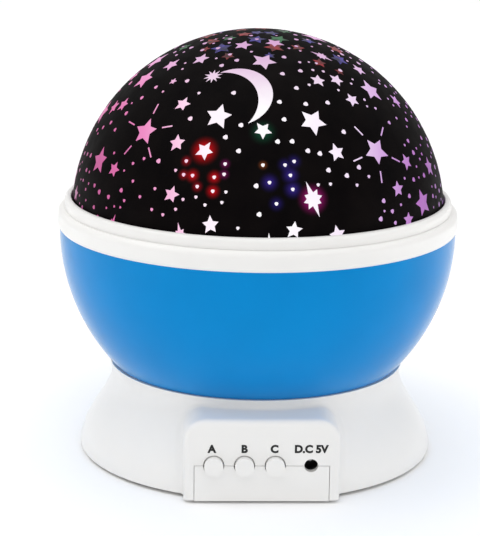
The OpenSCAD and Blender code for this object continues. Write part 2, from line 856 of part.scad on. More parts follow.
module motor_can() {
    flat_z = motor_d / 2 - motor_flat;
    color(steel) intersection() {
        translate([gearbox_side, -gear_distance, motor_z]) rotate([0, 90, 0])
            cylinder(d = motor_d, h = motor_l, $fn = 64);
        block([0, -gear_distance - motor_d, motor_z - flat_z],
            [gearbox_side + motor_l + 1, motor_d - gear_distance, motor_z + flat_z]);
    }
}

module motor_end_cap() {
    color([0.93, 0.93, 0.90]) translate([gearbox_side + motor_l, -gear_distance, motor_z]) rotate([0, 90, 0])
        cylinder(d = motor_d - 2, h = motor_cap_l, $fn = 64);
}

module output_shaft() {
    color(steel) translate([0, -gear_distance, 0]) difference() {
        post(shaft_d / 2, shaft_bottom, pinion_top - 0.3, 48);
        block([shaft_d / 2 - flat_cut, -shaft_d, gear_z], [shaft_d, shaft_d, pinion_top]);
    }
}

module drive_pinion() {
    color([0.93, 0.90, 0.80]) translate([0, -gear_distance, gear_z]) difference() {
        rotate([0, 0, 90 + 180 / pinion_teeth]) linear_extrude(pinion_h) polygon(gear_outline(pinion_teeth));
        difference() {
            post(shaft_d / 2, -1, pinion_h + 1, 48);
            block([shaft_d / 2 - flat_cut, -shaft_d, -2], [shaft_d, shaft_d, pinion_h + 2]);
        }
    }
}

// ---------------------------------------------------------------- lamp head

module thrust_washer() {
    color([0.90, 0.88, 0.80]) ring(boss_r + washer_w, boss_r + 0.1, deck_top, deck_top + washer_t);
}

module lamp_post() {
    color(shell_white) difference() {
        union() {
            post(post_r - post_spigot_gap, boss_top - post_spigot_h, boss_top + eps);
            post(flange_r, boss_top, boss_top + flange_t);
            post(post_r, boss_top, head_z + eps);
            post(head_r, head_z, head_top);
            translate([0, 0, head_z - head_cone]) cylinder(r1 = post_r, r2 = head_r - 2, h = head_cone + eps);
        }
        post(post_bore_r, boss_top - post_spigot_h - 1, head_top + 1);
        for (side = [-1, 1]) translate([side * post_screw_x, 0])
            post(small_screw_r + screw_hole_gap, boss_top - 1, boss_top + flange_t + 1, 32);
    }
}

module post_screws() {
    color(steel) for (side = [-1, 1]) translate([side * post_screw_x, 0, boss_top + flange_t + screw_head_h])
        mirror([0, 0, 1]) screw(small_screw_r, post_screw_l);
}

module led_board() {
    color(board_green) post(led_board_r, head_top, led_base_z);
}

// A round lamp at an angle round the lamp head
module led(angle) {
    translate([led_ring * cos(angle), led_ring * sin(angle), led_base_z]) {
        cylinder(d = led_d + 2 * led_rim_w, h = led_rim_h, $fn = 48);
        cylinder(d = led_d, h = led_h - led_d / 2, $fn = 48);
        translate([0, 0, led_h - led_d / 2]) sphere(d = led_d, $fn = 48);
    }
}

module red_led() {
    color([0.95, 0.15, 0.15, 0.8]) led(180);
}

module green_led() {
    color([0.10, 0.85, 0.35, 0.8]) led(90);
}

module blue_led() {
    color([0.15, 0.30, 0.95, 0.8]) led(0);
}

module warm_led() {
    color([1.0, 0.92, 0.70, 0.8]) led(270);
}

// ---------------------------------------------------------------- wires

// A point of a wire's route: the run's middle at a height, moved to the wire's own lane
// on the left of the run's heading
function lane(x, y, z, heading, offset) = [x - offset * sin(heading), y + offset * cos(heading), z];

// From the control board round the gearbox, under the deck in a quarter ellipse, and up the post
module led_wires() {
    side = gearbox_side + wire_side;
    back = gearbox_back - 2 * wire_bend;
    start_x = -gearbox_side - wire_bend;
    color([0.85, 0.20, 0.15]) for (i = [0:3]) {
        off = (i - 1.5) * wire_pitch;
        sweep_tube(concat(
            [
                lane(start_x, board_back, under_deck - 1, 90, off),
                lane(start_x, board_back + wire_out, under_deck - 1, 90, off),
                lane(start_x - wire_bend, gearbox_back - gearbox_d - wire_bend, under_deck - 0.5, 120, off),
                lane(-side, gearbox_back - gearbox_d + wire_bend, under_deck, 100, off)
            ],
            [for (t = [0:15:75])
                lane(-side * cos(t), back * (1 - sin(t)), under_deck,
                    atan2(-back * cos(t), side * sin(t)), off)],
            [
                lane(-2 * wire_d, 0, under_deck + 0.1, 0, off),
                lane(-wire_d / 2, 0, under_deck + 1, 0, off),
                lane(0, 0, under_deck + 3, 0, off),
                lane(0, 0, head_z, 0, off),
                lane(0, 0, head_top, 0, off)
            ]
        ), wire_d, wire_sides);
    }
}

// From the motor's end cap to the control board
module motor_wires() {
    cap_x = gearbox_side + motor_l + motor_cap_l;
    end_x = gearbox_side + wire_bend;
    front = gearbox_back - gearbox_d;
    low = motor_z - 2;
    color([0.12, 0.12, 0.12]) for (off = [-wire_pitch, wire_pitch])
        sweep_tube([
            lane(cap_x, -gear_distance, motor_z, 0, off),
            lane(cap_x + wire_out, -gear_distance, motor_z, 0, off),
            lane(cap_x + wire_bend, -gear_distance - wire_bend, motor_z - 1, -60, off),
            lane(cap_x + wire_out, front + wire_bend, low, -110, off),
            lane(cap_x - 2 * wire_bend, front - wire_out, low, -150, off),
            lane(end_x + 2 * wire_bend, board_back + 2 * wire_bend, low, -158, off),
            lane(end_x + wire_out, board_back + wire_bend, low, -130, off),
            lane(end_x, board_back + wire_out, low, -90, off),
            lane(end_x, board_back, low, -90, off)
        ], wire_d, wire_sides);
}

// From the end of the row of cells, along the compartment's side, to the control board
module battery_wires() {
    end_x = wire_bend - gearbox_side;
    front = gearbox_back - gearbox_d;
    low = cell_z - 2;
    color([0.70, 0.10, 0.10]) for (off = [-wire_pitch, wire_pitch])
        sweep_tube([
            lane(-tray_side, cell_y(0), cell_z, 180, off),
            lane(-tray_side - wire_out, cell_y(0), cell_z, 180, off),
            lane(-tray_side - wire_bend, cell_y(0) - wire_bend, cell_z - 0.5, 245, off),
            lane(-tray_side - wire_bend, tray_front, cell_z - 1, 275, off),
            lane(-gearbox_side - wire_side, -gear_distance - wire_bend, low, 288, off),
            lane(-gearbox_side - 2 * wire_bend, front - wire_out, low, 312, off),
            lane(end_x - wire_out, board_back + wire_bend, low, 310, off),
            lane(end_x, board_back + wire_out, low, 270, off),
            lane(end_x, board_back, low, 270, off)
        ], wire_d, wire_sides);
}

// ---------------------------------------------------------------- turning bowl

module bowl() {
    color(bowl_blue) difference() {
        intersection() {
            translate([0, 0, bowl_centre_z]) sphere(r = bowl_r, $fn = 128);
            post(2 * bowl_r, bowl_floor_z, bowl_z);
        }
        intersection() {
            translate([0, 0, bowl_centre_z]) sphere(r = bowl_r - bowl_wall, $fn = 128);
            post(2 * bowl_r, bowl_floor_top, bowl_z + 1);
        }
        post(hub_r + hub_play, bowl_floor_z - 1, bowl_floor_top + 1);
        at_gear_screws() post(small_screw_r + screw_hole_gap, bowl_floor_z - 1, bowl_floor_top + 1, 32);
    }
}

// Its children at each of the screws that hold the gear under the bowl
module at_gear_screws() {
    for (k = [0:gear_screw_count - 1]) rotate([0, 0, 360 * k / gear_screw_count + 90])
        translate([gear_screw_ring, 0]) children();
}

module globe_gear() {
    color([0.93, 0.90, 0.80]) difference() {
        union() {
            translate([0, 0, gear_z]) rotate([0, 0, -90]) linear_extrude(gear_h)
                polygon(gear_outline(globe_teeth));
            post(hub_r, gear_z, hub_top);
        }
        post(boss_r + run_gap, gear_z - 1, hub_top + 1);
        at_gear_screws() post(small_screw_r + screw_play, bowl_floor_top - gear_screw_l - thread_room,
            bowl_floor_z + 1, 32);
    }
}

module gear_screws() {
    color(steel) at_gear_screws() translate([0, 0, bowl_floor_top + screw_head_h])
        mirror([0, 0, 1]) screw(small_screw_r, gear_screw_l);
}

// The trim ring's section: a rounded band on the bowl's edge, with a spigot inside the bowl
module ring_section() {
    foot_rise = 1;
    polygon(concat(
        [[bowl_r, bowl_z]],
        arc([ring_r - foot_rise, bowl_z + foot_rise], foot_rise, -45, 0, 5),
        arc([ring_r - ring_round, ring_top - ring_round], ring_round, 0, 90, 8),
        [[skirt_r + skirt_play, ring_top], [skirt_r + skirt_play, groove_top]],
        [[groove_r, groove_top], [groove_r, groove_z]],
        [[spigot_r - spigot_t, groove_z], [spigot_r - spigot_t, tray_z]],
        [[spigot_r - spigot_t - ledge_w, tray_z], [spigot_r - spigot_t - ledge_w, tray_z - ledge_t]],
        [[spigot_r - ledge_t, tray_z - ledge_t], [spigot_r, tray_z], [spigot_r, bowl_z]]
    ));
}

module trim_ring() {
    color(shell_white) {
        difference() {
            rotate_extrude($fn = 128) ring_section();
            for (k = [0:lug_count - 1])
                ring_sector(groove_r, skirt_r - 1, groove_top - 1, ring_top + 1,
                    lug_middle(k) - twist_angle, notch_angle);
        }
        for (k = [0:lug_count - 1]) {
            ring_sector(groove_r + eps, skirt_r + skirt_play, groove_z - eps, groove_top + eps,
                lug_middle(k) + lug_angle / 2 + stop_angle, stop_angle);
            ring_sector(groove_r + eps, skirt_r + skirt_play, groove_z - eps, groove_top + eps,
                lug_middle(k) - twist_angle - lug_angle / 2 - stop_angle, stop_angle);
        }
    }
}

// Angle of the middle of a bayonet lug, with the dome locked
function lug_middle(k) = 360 * (k + 0.5) / lug_count;

module reflector_tray() {
    edge_r = spigot_r - spigot_t - tray_play;
    low = tray_z - tray_dip;
    color([0.97, 0.97, 0.95]) rotate_extrude() polygon([
        [edge_r, tray_z], [edge_r, tray_z + tray_t], [edge_r - tray_flat, tray_z + tray_t],
        [tray_hole_r + tray_flat, low + tray_t], [tray_hole_r, low + tray_t],
        [tray_hole_r, low], [tray_hole_r + tray_flat, low], [edge_r - tray_flat, tray_z]
    ]);
}

// ---------------------------------------------------------------- dome

module dome_collar() {
    edge = 1.3;
    small_edge = 0.4;
    bore = leg(dome_r, collar_z - dome_z) + dome_gap;
    foot = collar_z - collar_skirt_h;
    color(shell_white) {
        rotate_extrude($fn = 128) polygon(concat(
            [[skirt_r, collar_z]],
            arc([collar_r - small_edge, collar_z + small_edge], small_edge, -90, 0, 4),
            arc([collar_r - edge, collar_top - edge], edge, 0, 90, 6),
            arc([bore + small_edge, collar_top - small_edge], small_edge, 90, 180, 4),
            [[bore, collar_z], [skirt_bore_r, collar_z], [skirt_bore_r, foot], [skirt_r, foot]]
        ));
        for (k = [0:lug_count - 1])
            ring_sector(skirt_r + lug_out, skirt_r - 0.5, lug_z, lug_z + lug_h, lug_middle(k), lug_angle);
    }
}

module star_dome() {
    color([0.05, 0.04, 0.06]) intersection() {
        difference() {
            translate([0, 0, dome_z]) sphere(r = dome_r, $fn = 128);
            translate([0, 0, dome_z]) sphere(r = dome_r - dome_wall, $fn = 128);
        }
        post(2 * dome_r, collar_z, dome_top + 1);
    }
}

// ---------------------------------------------------------------- buttons

module button(i) {
    color(shell_white) {
        peg_y(button_d / 2, button_places[i], button_z, face_y - button_out, button_flange_y + eps);
        peg_y(button_flange_d / 2, button_places[i], button_z,
            button_flange_y, button_flange_y + button_flange_t);
        peg_y(button_tail_d / 2, button_places[i], button_z, button_flange_y, button_back_y, 32);
    }
}

module plunger(i) {
    color([0.12, 0.12, 0.13])
        peg_y(plunger_d / 2, button_places[i], button_z, plunger_y, plunger_y + plunger_l, 32);
}

base_shell();
bottom_cover();
rubber_feet();
cover_screws();
control_board();
tact_switches();
dc_jack();
jack_pin();
battery_cells();
battery_springs();
battery_contacts();
gearbox_case();
gearbox_screws();
motor_can();
motor_end_cap();
thrust_washer();
lamp_post();
post_screws();
led_board();
red_led();
green_led();
blue_led();
warm_led();
led_wires();
motor_wires();
battery_wires();
bowl();
globe_gear();
gear_screws();
trim_ring();
reflector_tray();
output_shaft();
drive_pinion();
dome_collar();
star_dome();
button(0);  // button_a
button(1);  // button_b
button(2);  // button_c
plunger(0);  // plunger_a
plunger(1);  // plunger_b
plunger(2);  // plunger_c
battery_door();
door_screw();
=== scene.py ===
"""Star night light projector: the looks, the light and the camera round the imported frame.

Metres, in the frame's own axes: +Z up, the floor at 0, and the control box faces -Y.
Lengths that are easier to read in millimetres are written as a number times MM.
A place on the dome is an azimuth, from the front (-Y) towards +X, and an elevation, in degrees.
Sizes in the dome's and the base's own tables are in millimetres, and turns in degrees.
"""
import math
import random

import bmesh
import bpy
from mathutils import Matrix, Vector


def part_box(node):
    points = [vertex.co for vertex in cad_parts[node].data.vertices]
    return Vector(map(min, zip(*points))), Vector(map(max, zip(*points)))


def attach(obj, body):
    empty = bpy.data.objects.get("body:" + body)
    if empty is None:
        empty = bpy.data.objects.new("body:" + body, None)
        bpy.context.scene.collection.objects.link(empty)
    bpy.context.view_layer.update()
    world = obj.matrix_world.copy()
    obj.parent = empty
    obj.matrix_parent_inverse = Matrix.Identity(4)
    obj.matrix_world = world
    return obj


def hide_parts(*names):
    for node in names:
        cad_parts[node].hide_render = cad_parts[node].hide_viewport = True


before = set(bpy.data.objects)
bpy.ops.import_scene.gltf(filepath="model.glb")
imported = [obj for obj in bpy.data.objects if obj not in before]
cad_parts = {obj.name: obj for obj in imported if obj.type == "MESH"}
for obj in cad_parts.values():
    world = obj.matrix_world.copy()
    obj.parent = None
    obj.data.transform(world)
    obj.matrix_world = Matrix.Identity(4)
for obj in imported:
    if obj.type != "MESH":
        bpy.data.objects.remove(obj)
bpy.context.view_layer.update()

MM = 0.001
NEAR_NOTHING = 1e-9
ROUND_SEGMENTS = 192  # in the whole turn of a revolved piece

# ------------------------------------------------------------------ camera and stage

CAMERA_PLACE = (-25.94 * MM, -618.96 * MM, 218.65 * MM)
CAMERA_HEADING = math.radians(1.89)  # from +Y towards +X
CAMERA_PITCH = math.radians(14.45)  # downwards
CAMERA_ROLL = math.radians(0.72)
CAMERA_LENS = 132.38
CAMERA_CLIP = (0.05, 30)

FLOOR_SIZE = 30.0
LAMP_MIDDLE = (0, 0, 0.07)

# Soft boxes: name, place, target, size, power, and the beam's angle in degrees
SOFT_BOXES = [
    ("left_light", (-1.1, -0.75, 0.75), LAMP_MIDDLE, 0.8, 0.3, 180),
    ("right_light", (1.15, -0.7, 0.45), LAMP_MIDDLE, 0.7, 0.85, 180),
    ("front_fill", (0.35, -1.3, 0.15), LAMP_MIDDLE, 0.9, 1.3, 180),
    ("front_key", (0.1, -1.0, 0.65), LAMP_MIDDLE, 0.8, 0.7, 180),
    ("back_floor", (0, 0.85, 0.9), (0, 0.85, 0), 1.0, 1.2, 110),
    ("left_bounce", (-0.42, -0.05, 0.45), (-0.42, -0.05, 0), 0.35, 0.7, 100),
    ("right_bounce", (0.48, 0.05, 0.45), (0.48, 0.05, 0), 0.3, 0.8, 100),
]
OVERHEAD_STRENGTH = 0.9
OVERHEAD_SPREAD = math.radians(65)
OVERHEAD_TILT = (math.radians(8), math.radians(-3), 0)
SKY_STRENGTH = 0.62


def add_object(name, data):
    """A new object in the scene."""
    thing = bpy.data.objects.new(name, data)
    bpy.context.scene.collection.objects.link(thing)
    return thing


def add_camera():
    """The camera stands a little to the left of the front and looks down on the lamp."""
    heading, pitch = CAMERA_HEADING, CAMERA_PITCH
    forward = Vector((math.sin(heading) * math.cos(pitch), math.cos(heading) * math.cos(pitch),
                      -math.sin(pitch)))
    right = Vector((math.cos(heading), -math.sin(heading), 0))
    level = Matrix((right, right.cross(forward), -forward)).transposed()
    turn = level @ Matrix.Rotation(CAMERA_ROLL, 3, "Z")
    data = bpy.data.cameras.new("camera")
    data.lens = CAMERA_LENS
    data.clip_start, data.clip_end = CAMERA_CLIP
    camera = add_object("camera", data)
    camera.matrix_world = Matrix.Translation(CAMERA_PLACE) @ turn.to_4x4()
    bpy.context.scene.camera = camera


def add_floor():
    """The plain pale floor."""
    bm = bmesh.new()
    bmesh.ops.create_grid(bm, x_segments=4, y_segments=4, size=FLOOR_SIZE / 2)
    add_mesh("floor", bm, [floor_material()])


def add_soft_box(name, place, target, size, power, spread):
    """A square area light that faces a target."""
    data = bpy.data.lights.new(name, "AREA")
    data.shape = "SQUARE"
    data.size = size
    data.energy = power
    data.spread = math.radians(spread)
    lamp = add_object(name, data)
    lamp.location = place
    lamp.rotation_euler = (Vector(target) - Vector(place)).to_track_quat("-Z", "Y").to_euler()


def add_overhead():
    """One very soft sun from nearly straight above."""
    data = bpy.data.lights.new("overhead", "SUN")
    data.energy = OVERHEAD_STRENGTH
    data.angle = OVERHEAD_SPREAD
    add_object("overhead", data).rotation_euler = OVERHEAD_TILT


def add_sky():
    """An even white sky."""
    world = bpy.data.worlds.new("sky")
    world.use_nodes = True
    sky = world.node_tree.nodes["Background"]
    sky.inputs["Color"].default_value = (1, 1, 1, 1)
    sky.inputs["Strength"].default_value = SKY_STRENGTH
    bpy.context.scene.world = world


def add_stage():
    """Floor and lights."""
    add_floor()
    for box in SOFT_BOXES:
        add_soft_box(*box)
    add_overhead()
    add_sky()
    bpy.context.scene.view_settings.view_transform = "Standard"


# ------------------------------------------------------------------ mesh helpers


def add_mesh(name, bm, materials, smooth=False):
    """A new object from a finished bmesh."""
    mesh = bpy.data.meshes.new(name)
    bmesh.ops.recalc_face_normals(bm, faces=bm.faces)
    for face in bm.faces:
        face.smooth = smooth
    bm.to_mesh(mesh)
    bm.free()
    for material in materials:
        mesh.materials.append(material)
    return add_object(name, mesh)


def place_piece(piece, body, slot, *nodes):
    """Says what a piece rides on and hides the CAD nodes that it stands for; slot, its finish, is not used.
    """
    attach(piece, body)
    if nodes:
        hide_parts(*nodes)


def add_columns(bm, columns):
    """Faces round a ring of closed columns, each a list of as many points."""
    columns = [[bm.verts.new(point) for point in column] for column in columns]
    for k, here in enumerate(columns):
        there = columns[(k + 1) % len(columns)]
        for i in range(len(here)):
            j = (i + 1) % len(here)
            bm.faces.new((here[i], here[j], there[j], there[i]))


def add_round(bm, profile):
    """Faces of a closed profile of (radius, height) revolved round +Z."""
    columns = []
    for k in range(ROUND_SEGMENTS):
        turn = 2 * math.pi * k / ROUND_SEGMENTS
        columns.append([(r * math.cos(turn), r * math.sin(turn), z) for r, z in profile])
    add_columns(bm, columns)


def final_mesh(thing):
    """The mesh of a text, or of a piece with its modifiers applied."""
    bpy.context.view_layer.update()
    return bpy.data.meshes.new_from_object(thing.evaluated_get(bpy.context.evaluated_depsgraph_get()))


# ------------------------------------------------------------------ material helpers

SHADER_SOCKETS = {"specular": "Specular IOR Level"}
CLOUD_LOW, CLOUD_HIGH = 0.3, 0.7  # a cloudy factor lies mostly between these


def srgb(red, green, blue):
    """A linear colour from the 0 to 255 values that a screen shows."""
    def linear(value):
        value /= 255
        return value / 12.92 if value <= 0.04045 else ((value + 0.055) / 1.055) ** 2.4
    return (linear(red), linear(green), linear(blue), 1.0)


class Nodes:
    """Adds nodes to one material and links them."""

    def __init__(self, name):
        self.material = bpy.data.materials.new(name)
        self.material.use_nodes = True
        self.tree = self.material.node_tree
        self.shader = self.tree.nodes["Principled BSDF"]
        self.place = self.add("ShaderNodeTexCoord").outputs["Object"]

    def add(self, kind, inputs=None, **settings):
        """A new node with its settings made and its inputs set or linked."""
        node = self.tree.nodes.new(kind)
        for name, value in settings.items():
            setattr(node, name, value)
        for key, value in (inputs or {}).items():
            self.put(node.inputs[key], value)
        return node

    def put(self, socket, value):
        """Links a socket to another node's output, or sets its value."""
        if isinstance(value, bpy.types.NodeSocket):
            self.tree.links.new(value, socket)
        else:
            socket.default_value = value

    def set(self, **values):
        """Sets or links inputs of the shader: base_color=... means 'Base Color'."""
        for name, value in values.items():
            socket = SHADER_SOCKETS.get(name, name.replace("_", " ").title())
            self.put(self.shader.inputs[socket], value)

    def axis(self, name):
        """The place along X, Y or Z."""
        return self.add("ShaderNodeSeparateXYZ", {"Vector": self.place}).outputs[name]

    def noise(self, size, detail=2.0, stretch=(1, 1, 1)):
        """A cloudy factor from 0 to 1 whose blots are about size across."""
        place = self.add("ShaderNodeMapping", {"Vector": self.place, "Scale": stretch}).outputs["Vector"]
        inputs = {"Vector": place, "Scale": 1 / size, "Detail": detail}
        return self.add("ShaderNodeTexNoise", inputs).outputs["Fac"]

    def ramp(self, factor, stops):
        """A colour along stops of (place, colour)."""
        node = self.add("ShaderNodeValToRGB", {"Fac": factor})
        elements = node.color_ramp.elements
        while len(elements) < len(stops):
            elements.new(0.5)
        for element, (place, colour) in zip(elements, stops):
            element.position = place
            element.color = colour
        return node.outputs["Color"]

    def cloud(self, factor, dark, light):
        """A colour that goes from dark to light with a cloudy factor."""
        return self.ramp(factor, [(CLOUD_LOW, dark), (CLOUD_HIGH, light)])

    def mix(self, factor, first, second):
        """A colour that goes from the first to the second as the factor goes from 0 to 1."""
        inputs = {"Factor": factor, "A": first, "B": second}
        return self.add("ShaderNodeMix", inputs, data_type="RGBA").outputs["Result"]

    def span(self, factor, low, high, start=CLOUD_LOW, end=CLOUD_HIGH, smooth=False):
        """A number that goes from low to high as the factor goes from start to end."""
        node = self.add("ShaderNodeMapRange", {"Value": factor, "From Min": start, "From Max": end,
                                               "To Min": low, "To Max": high})
        node.interpolation_type = "SMOOTHSTEP" if smooth else "LINEAR"
        return node.outputs["Result"]

    def math(self, operation, first, second):
        """The result of an operation on two numbers."""
        return self.add("ShaderNodeMath", {0: first, 1: second}, operation=operation).outputs["Value"]

    def bump(self, height, strength, depth):
        """A normal that follows a height map of some depth."""
        inputs = {"Height": height, "Strength": strength, "Distance": depth}
        return self.add("ShaderNodeBump", inputs).outputs["Normal"]


def moulded(name, light, dark, roughness, relief=0.015, specular=0.4, sheen=0.0):
    """Moulded plastic: a slight cloud in its tone, an uneven gloss and a very fine grain."""
    nodes = Nodes(name)
    tone = nodes.cloud(nodes.noise(18 * MM, detail=3), dark, light)
    gloss = nodes.span(nodes.noise(7 * MM, detail=4), low=roughness * 0.97, high=roughness * 1.04)
    grain = nodes.bump(nodes.noise(0.4 * MM), strength=relief, depth=0.05 * MM)
    nodes.set(base_color=tone, roughness=gloss, normal=grain)
    nodes.set(specular=specular, sheen_weight=sheen, sheen_roughness=0.4)
    return nodes.material


def metal(name, light, dark, roughness, stretch):
    """Plated or drawn metal with fine lines across the stretched axis."""
    nodes = Nodes(name)
    lines = nodes.noise(0.5 * MM, detail=3, stretch=stretch)
    nodes.set(base_color=nodes.cloud(lines, dark, light), metallic=1.0)
    nodes.set(roughness=nodes.span(lines, low=roughness * 0.7, high=roughness * 1.3))
    nodes.set(normal=nodes.bump(lines, strength=0.05, depth=0.02 * MM))
    return nodes.material


def floor_material():
    """Matt, nearly white paper."""
    nodes = Nodes("floor_paper")
    tone = nodes.cloud(nodes.noise(200 * MM), (0.95, 0.95, 0.95, 1), (0.97, 0.97, 0.97, 1))
    gloss = nodes.span(nodes.noise(50 * MM), low=0.75, high=0.85)
    nodes.set(base_color=tone, roughness=gloss, specular=0.1)
    return nodes.material


# The tracks of a circuit board, as inputs of a brick texture
TRACKS = {"Color1": (0, 0, 0, 1), "Color2": (0, 0, 0, 1), "Mortar": (1, 1, 1, 1), "Scale": 260,
          "Mortar Size": 0.04, "Brick Width": 1.4, "Row Height": 0.5}


def circuit_material():
    """Green solder mask with lighter tracks under it and a few round pads."""
    nodes = Nodes("circuit_board")
    tracks = nodes.add("ShaderNodeTexBrick", {"Vector": nodes.place, **TRACKS}, offset=0.35).outputs["Color"]
    pads = nodes.add("ShaderNodeTexVoronoi", {"Vector": nodes.place, "Scale": 300}).outputs["Distance"]
    mask = nodes.cloud(tracks, srgb(14, 78, 42), srgb(38, 120, 70))
    on_pad = nodes.span(pads, low=1, high=0, start=0.12, end=0.16)
    nodes.set(base_color=nodes.mix(on_pad, mask, srgb(196, 190, 170)))
    nodes.set(roughness=nodes.span(nodes.noise(3 * MM), low=0.3, high=0.42))
    nodes.set(normal=nodes.bump(tracks, strength=0.2, depth=0.03 * MM))
    return nodes.material


def cell_material():
    """A plain printed sleeve: gold ends, a dark body and fine mottling."""
    nodes = Nodes("cell_sleeve")
    gold, dark, worn = srgb(190, 150, 70), srgb(32, 62, 110), srgb(220, 220, 220)
    along = nodes.span(nodes.axis("X"), low=0, high=1, start=-25 * MM, end=25 * MM)
    sleeve = nodes.ramp(along, [(0.0, gold), (0.24, gold), (0.25, dark), (0.75, dark), (0.76, gold)])
    mottle = nodes.span(nodes.noise(2 * MM, detail=4), low=0, high=0.12)
    nodes.set(base_color=nodes.mix(mottle, sleeve, worn))
    nodes.set(roughness=nodes.span(nodes.noise(4 * MM), low=0.25, high=0.38), metallic=0.3)
    return nodes.material


def lamp_material(name, tint, pale):
    """Tinted clear epoxy with a paler heart."""
    nodes = Nodes(name)
    nodes.set(base_color=nodes.cloud(nodes.noise(2 * MM, detail=1), tint, pale), roughness=0.12)
    nodes.set(transmission_weight=0.5, emission_color=tint, emission_strength=0.3)
    return nodes.material


# ------------------------------------------------------------------ the printed dome

DOME_R = 59.8 * MM  # to the windows' faces
DOME_RIM, DOME_TOP = (corner.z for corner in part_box("star_dome"))
DOME_MIDDLE = Vector((0, 0, DOME_TOP - DOME_R))
PRINT_R = DOME_R - 0.05 * MM  # the print lies just under the windows' faces
DOME_INNER_R = DOME_R - 1.6 * MM
RIM_ELEVATION = math.degrees(math.asin((DOME_RIM - DOME_MIDDLE.z) / DOME_R))
DOME_STEPS = 64  # from the rim to the pole
POLE_WELD = 0.01 * MM  # less than the shell's points lie apart anywhere else
WINDOW_DEPTH = 0.12 * MM
GLINT_SINK = 0.02 * MM  # how much lower the glints lie than the windows

# Glows round windows that a lamp stands right behind: colour, strength, reach, and the windows' places
GLOWS = [
    (srgb(235, 8, 22), 1.35, 5.2, [(-20.5, 30.5)]),
    (srgb(220, 8, 26), 1.0, 2.8, [(-23, 23), (-16, 23), (-16, 19)]),
    (srgb(190, 14, 40), 0.8, 2.3, [(-26, 27), (-21, 20), (-26, 23)]),
    (srgb(170, 26, 130), 0.5, 2.2, [(-13, 27), (-13, 24)]),
    (srgb(72, 50, 175), 0.6, 3.5, [(1, 22), (7.5, 24), (8, 20)]),
    (srgb(62, 46, 160), 0.42, 3.0, [(6, 27), (9, 28), (3, 16)]),
    (srgb(220, 120, 60), 0.4, 1.9, [(-1, 27)]),
    (srgb(195, 26, 140), 1.25, 5.4, [(14, 17)]),
    (srgb(26, 120, 84), 0.5, 5.0, [(-1, 37)]),
]
GLOW_FALLOFF = 2.2
GLOW_DOT = 0.55  # the size of a dot at each glow that has no bigger window

# The big windows at the front: kind, azimuth, elevation, size and turn
FRONT_WINDOWS = [
    ("moon", -13, 49.3, 11.2, 31),
    ("rays_burst", -27.4, 56, 2.9, 10),
    ("star", 0, 64, 4.0, 44),
    ("star", -18, 41.5, 4.3, -5),
    ("star", 18, 40, 4.4, -36),
    ("rays", -46, 34, 4.4, 4),
    ("rays", 40, 29, 4.5, 28),
    ("burst", 14, 17, 5.6, 18),
    ("burst", 46, 65, 3.6, 30),
    ("star", -1, 37.5, 2.8, 36),
    ("star", -20.5, 30.5, 2.9, -25),
    ("star", -31, 32, 2.7, 10),
    ("star", -35, 44.5, 2.6, -8),
    ("star", 24, 30, 2.8, 8),
    ("star", -29, 17, 2.6, -12),
    ("star", -16, 9.5, 2.7, 6),
    ("star", 8, 8.5, 2.6, -8),
    ("star", 28, 54.5, 2.5, 50),
    ("star", 39, 54, 2.5, 26),
    ("star", 40, 46, 2.5, 6),
    ("star", 56, 48, 4.2, -16),
    ("star", -71, 50, 4.2, 10),
    ("star", -20, 73, 3.0, 0),
    ("star", 14, 75, 3.0, 20),
    ("star", -44, 63, 2.8, 12),
    ("star", -62, 58, 2.9, -6),
    ("star", -64, 22, 4.3, 8),
    ("star", -54, 21, 2.5, -14),
    ("star", -69, 40, 2.6, 4),
    ("star", -76, 38, 2.6, 30),
    ("star", 53, 24, 2.6, 10),
    ("star", 45, 17, 2.5, -4),
    ("star", 57, 11, 4.4, 12),
    ("star", 68, 20, 3.2, -10),
    ("star", 70, 42, 2.6, 18),
    ("star", 64, 56, 2.6, -12),
    ("star", -48, 52, 1.3, 0),
    ("burst", -25, 6, 3.6, 14),
    ("burst", -50, 5.5, 3.2, -20),
    ("star", 21, 6.5, 2.8, 10),
    ("star", 48, 7.5, 2.4, -6),
    ("burst", 1, 5, 3.0, 4),
    ("star", -78, 9, 2.6, 0),
]

# Round windows between them: size, then azimuth and elevation
FRONT_DOTS = [
    (0.74, [(-14, 50), (-40, 53), (-29, 40), (-9, 39), (-14, 35), (-9, 31), (6, 47), (7, 41), (4, 34),
            (9, 34), (14, 31), (18, 30), (17, 46), (15, 52), (10, 58), (21, 59), (15, 66), (-18, 64),
            (-26, 61), (29, 36), (27, 46), (20, 25), (26, 23), (31, 25), (-3, 21), (-2, 13), (-36, 26)]),
    (0.5, [(-30, 49), (22, 53), (24, 63), (29, 59), (35, 58), (16, 21), (20, 21), (29, 20), (34, 22),
           (-8, 9), (-12, 19), (-29, 24), (-42, 26), (-46, 24), (-44, 19), (-35, 18), (-40, 15), (-46, 13),
           (-35, 12), (-31, 11), (-27, 13), (-25, 16), (-21, 17), (-18, 15), (-13, 16)]),
]

# The builder's own moon and flash behind: kind, azimuth, elevation, size and turn
BACK_WINDOWS = [("moon", 168, 46, 11.0, 21), ("rays_burst", 151, 52, 3.4, 0)]

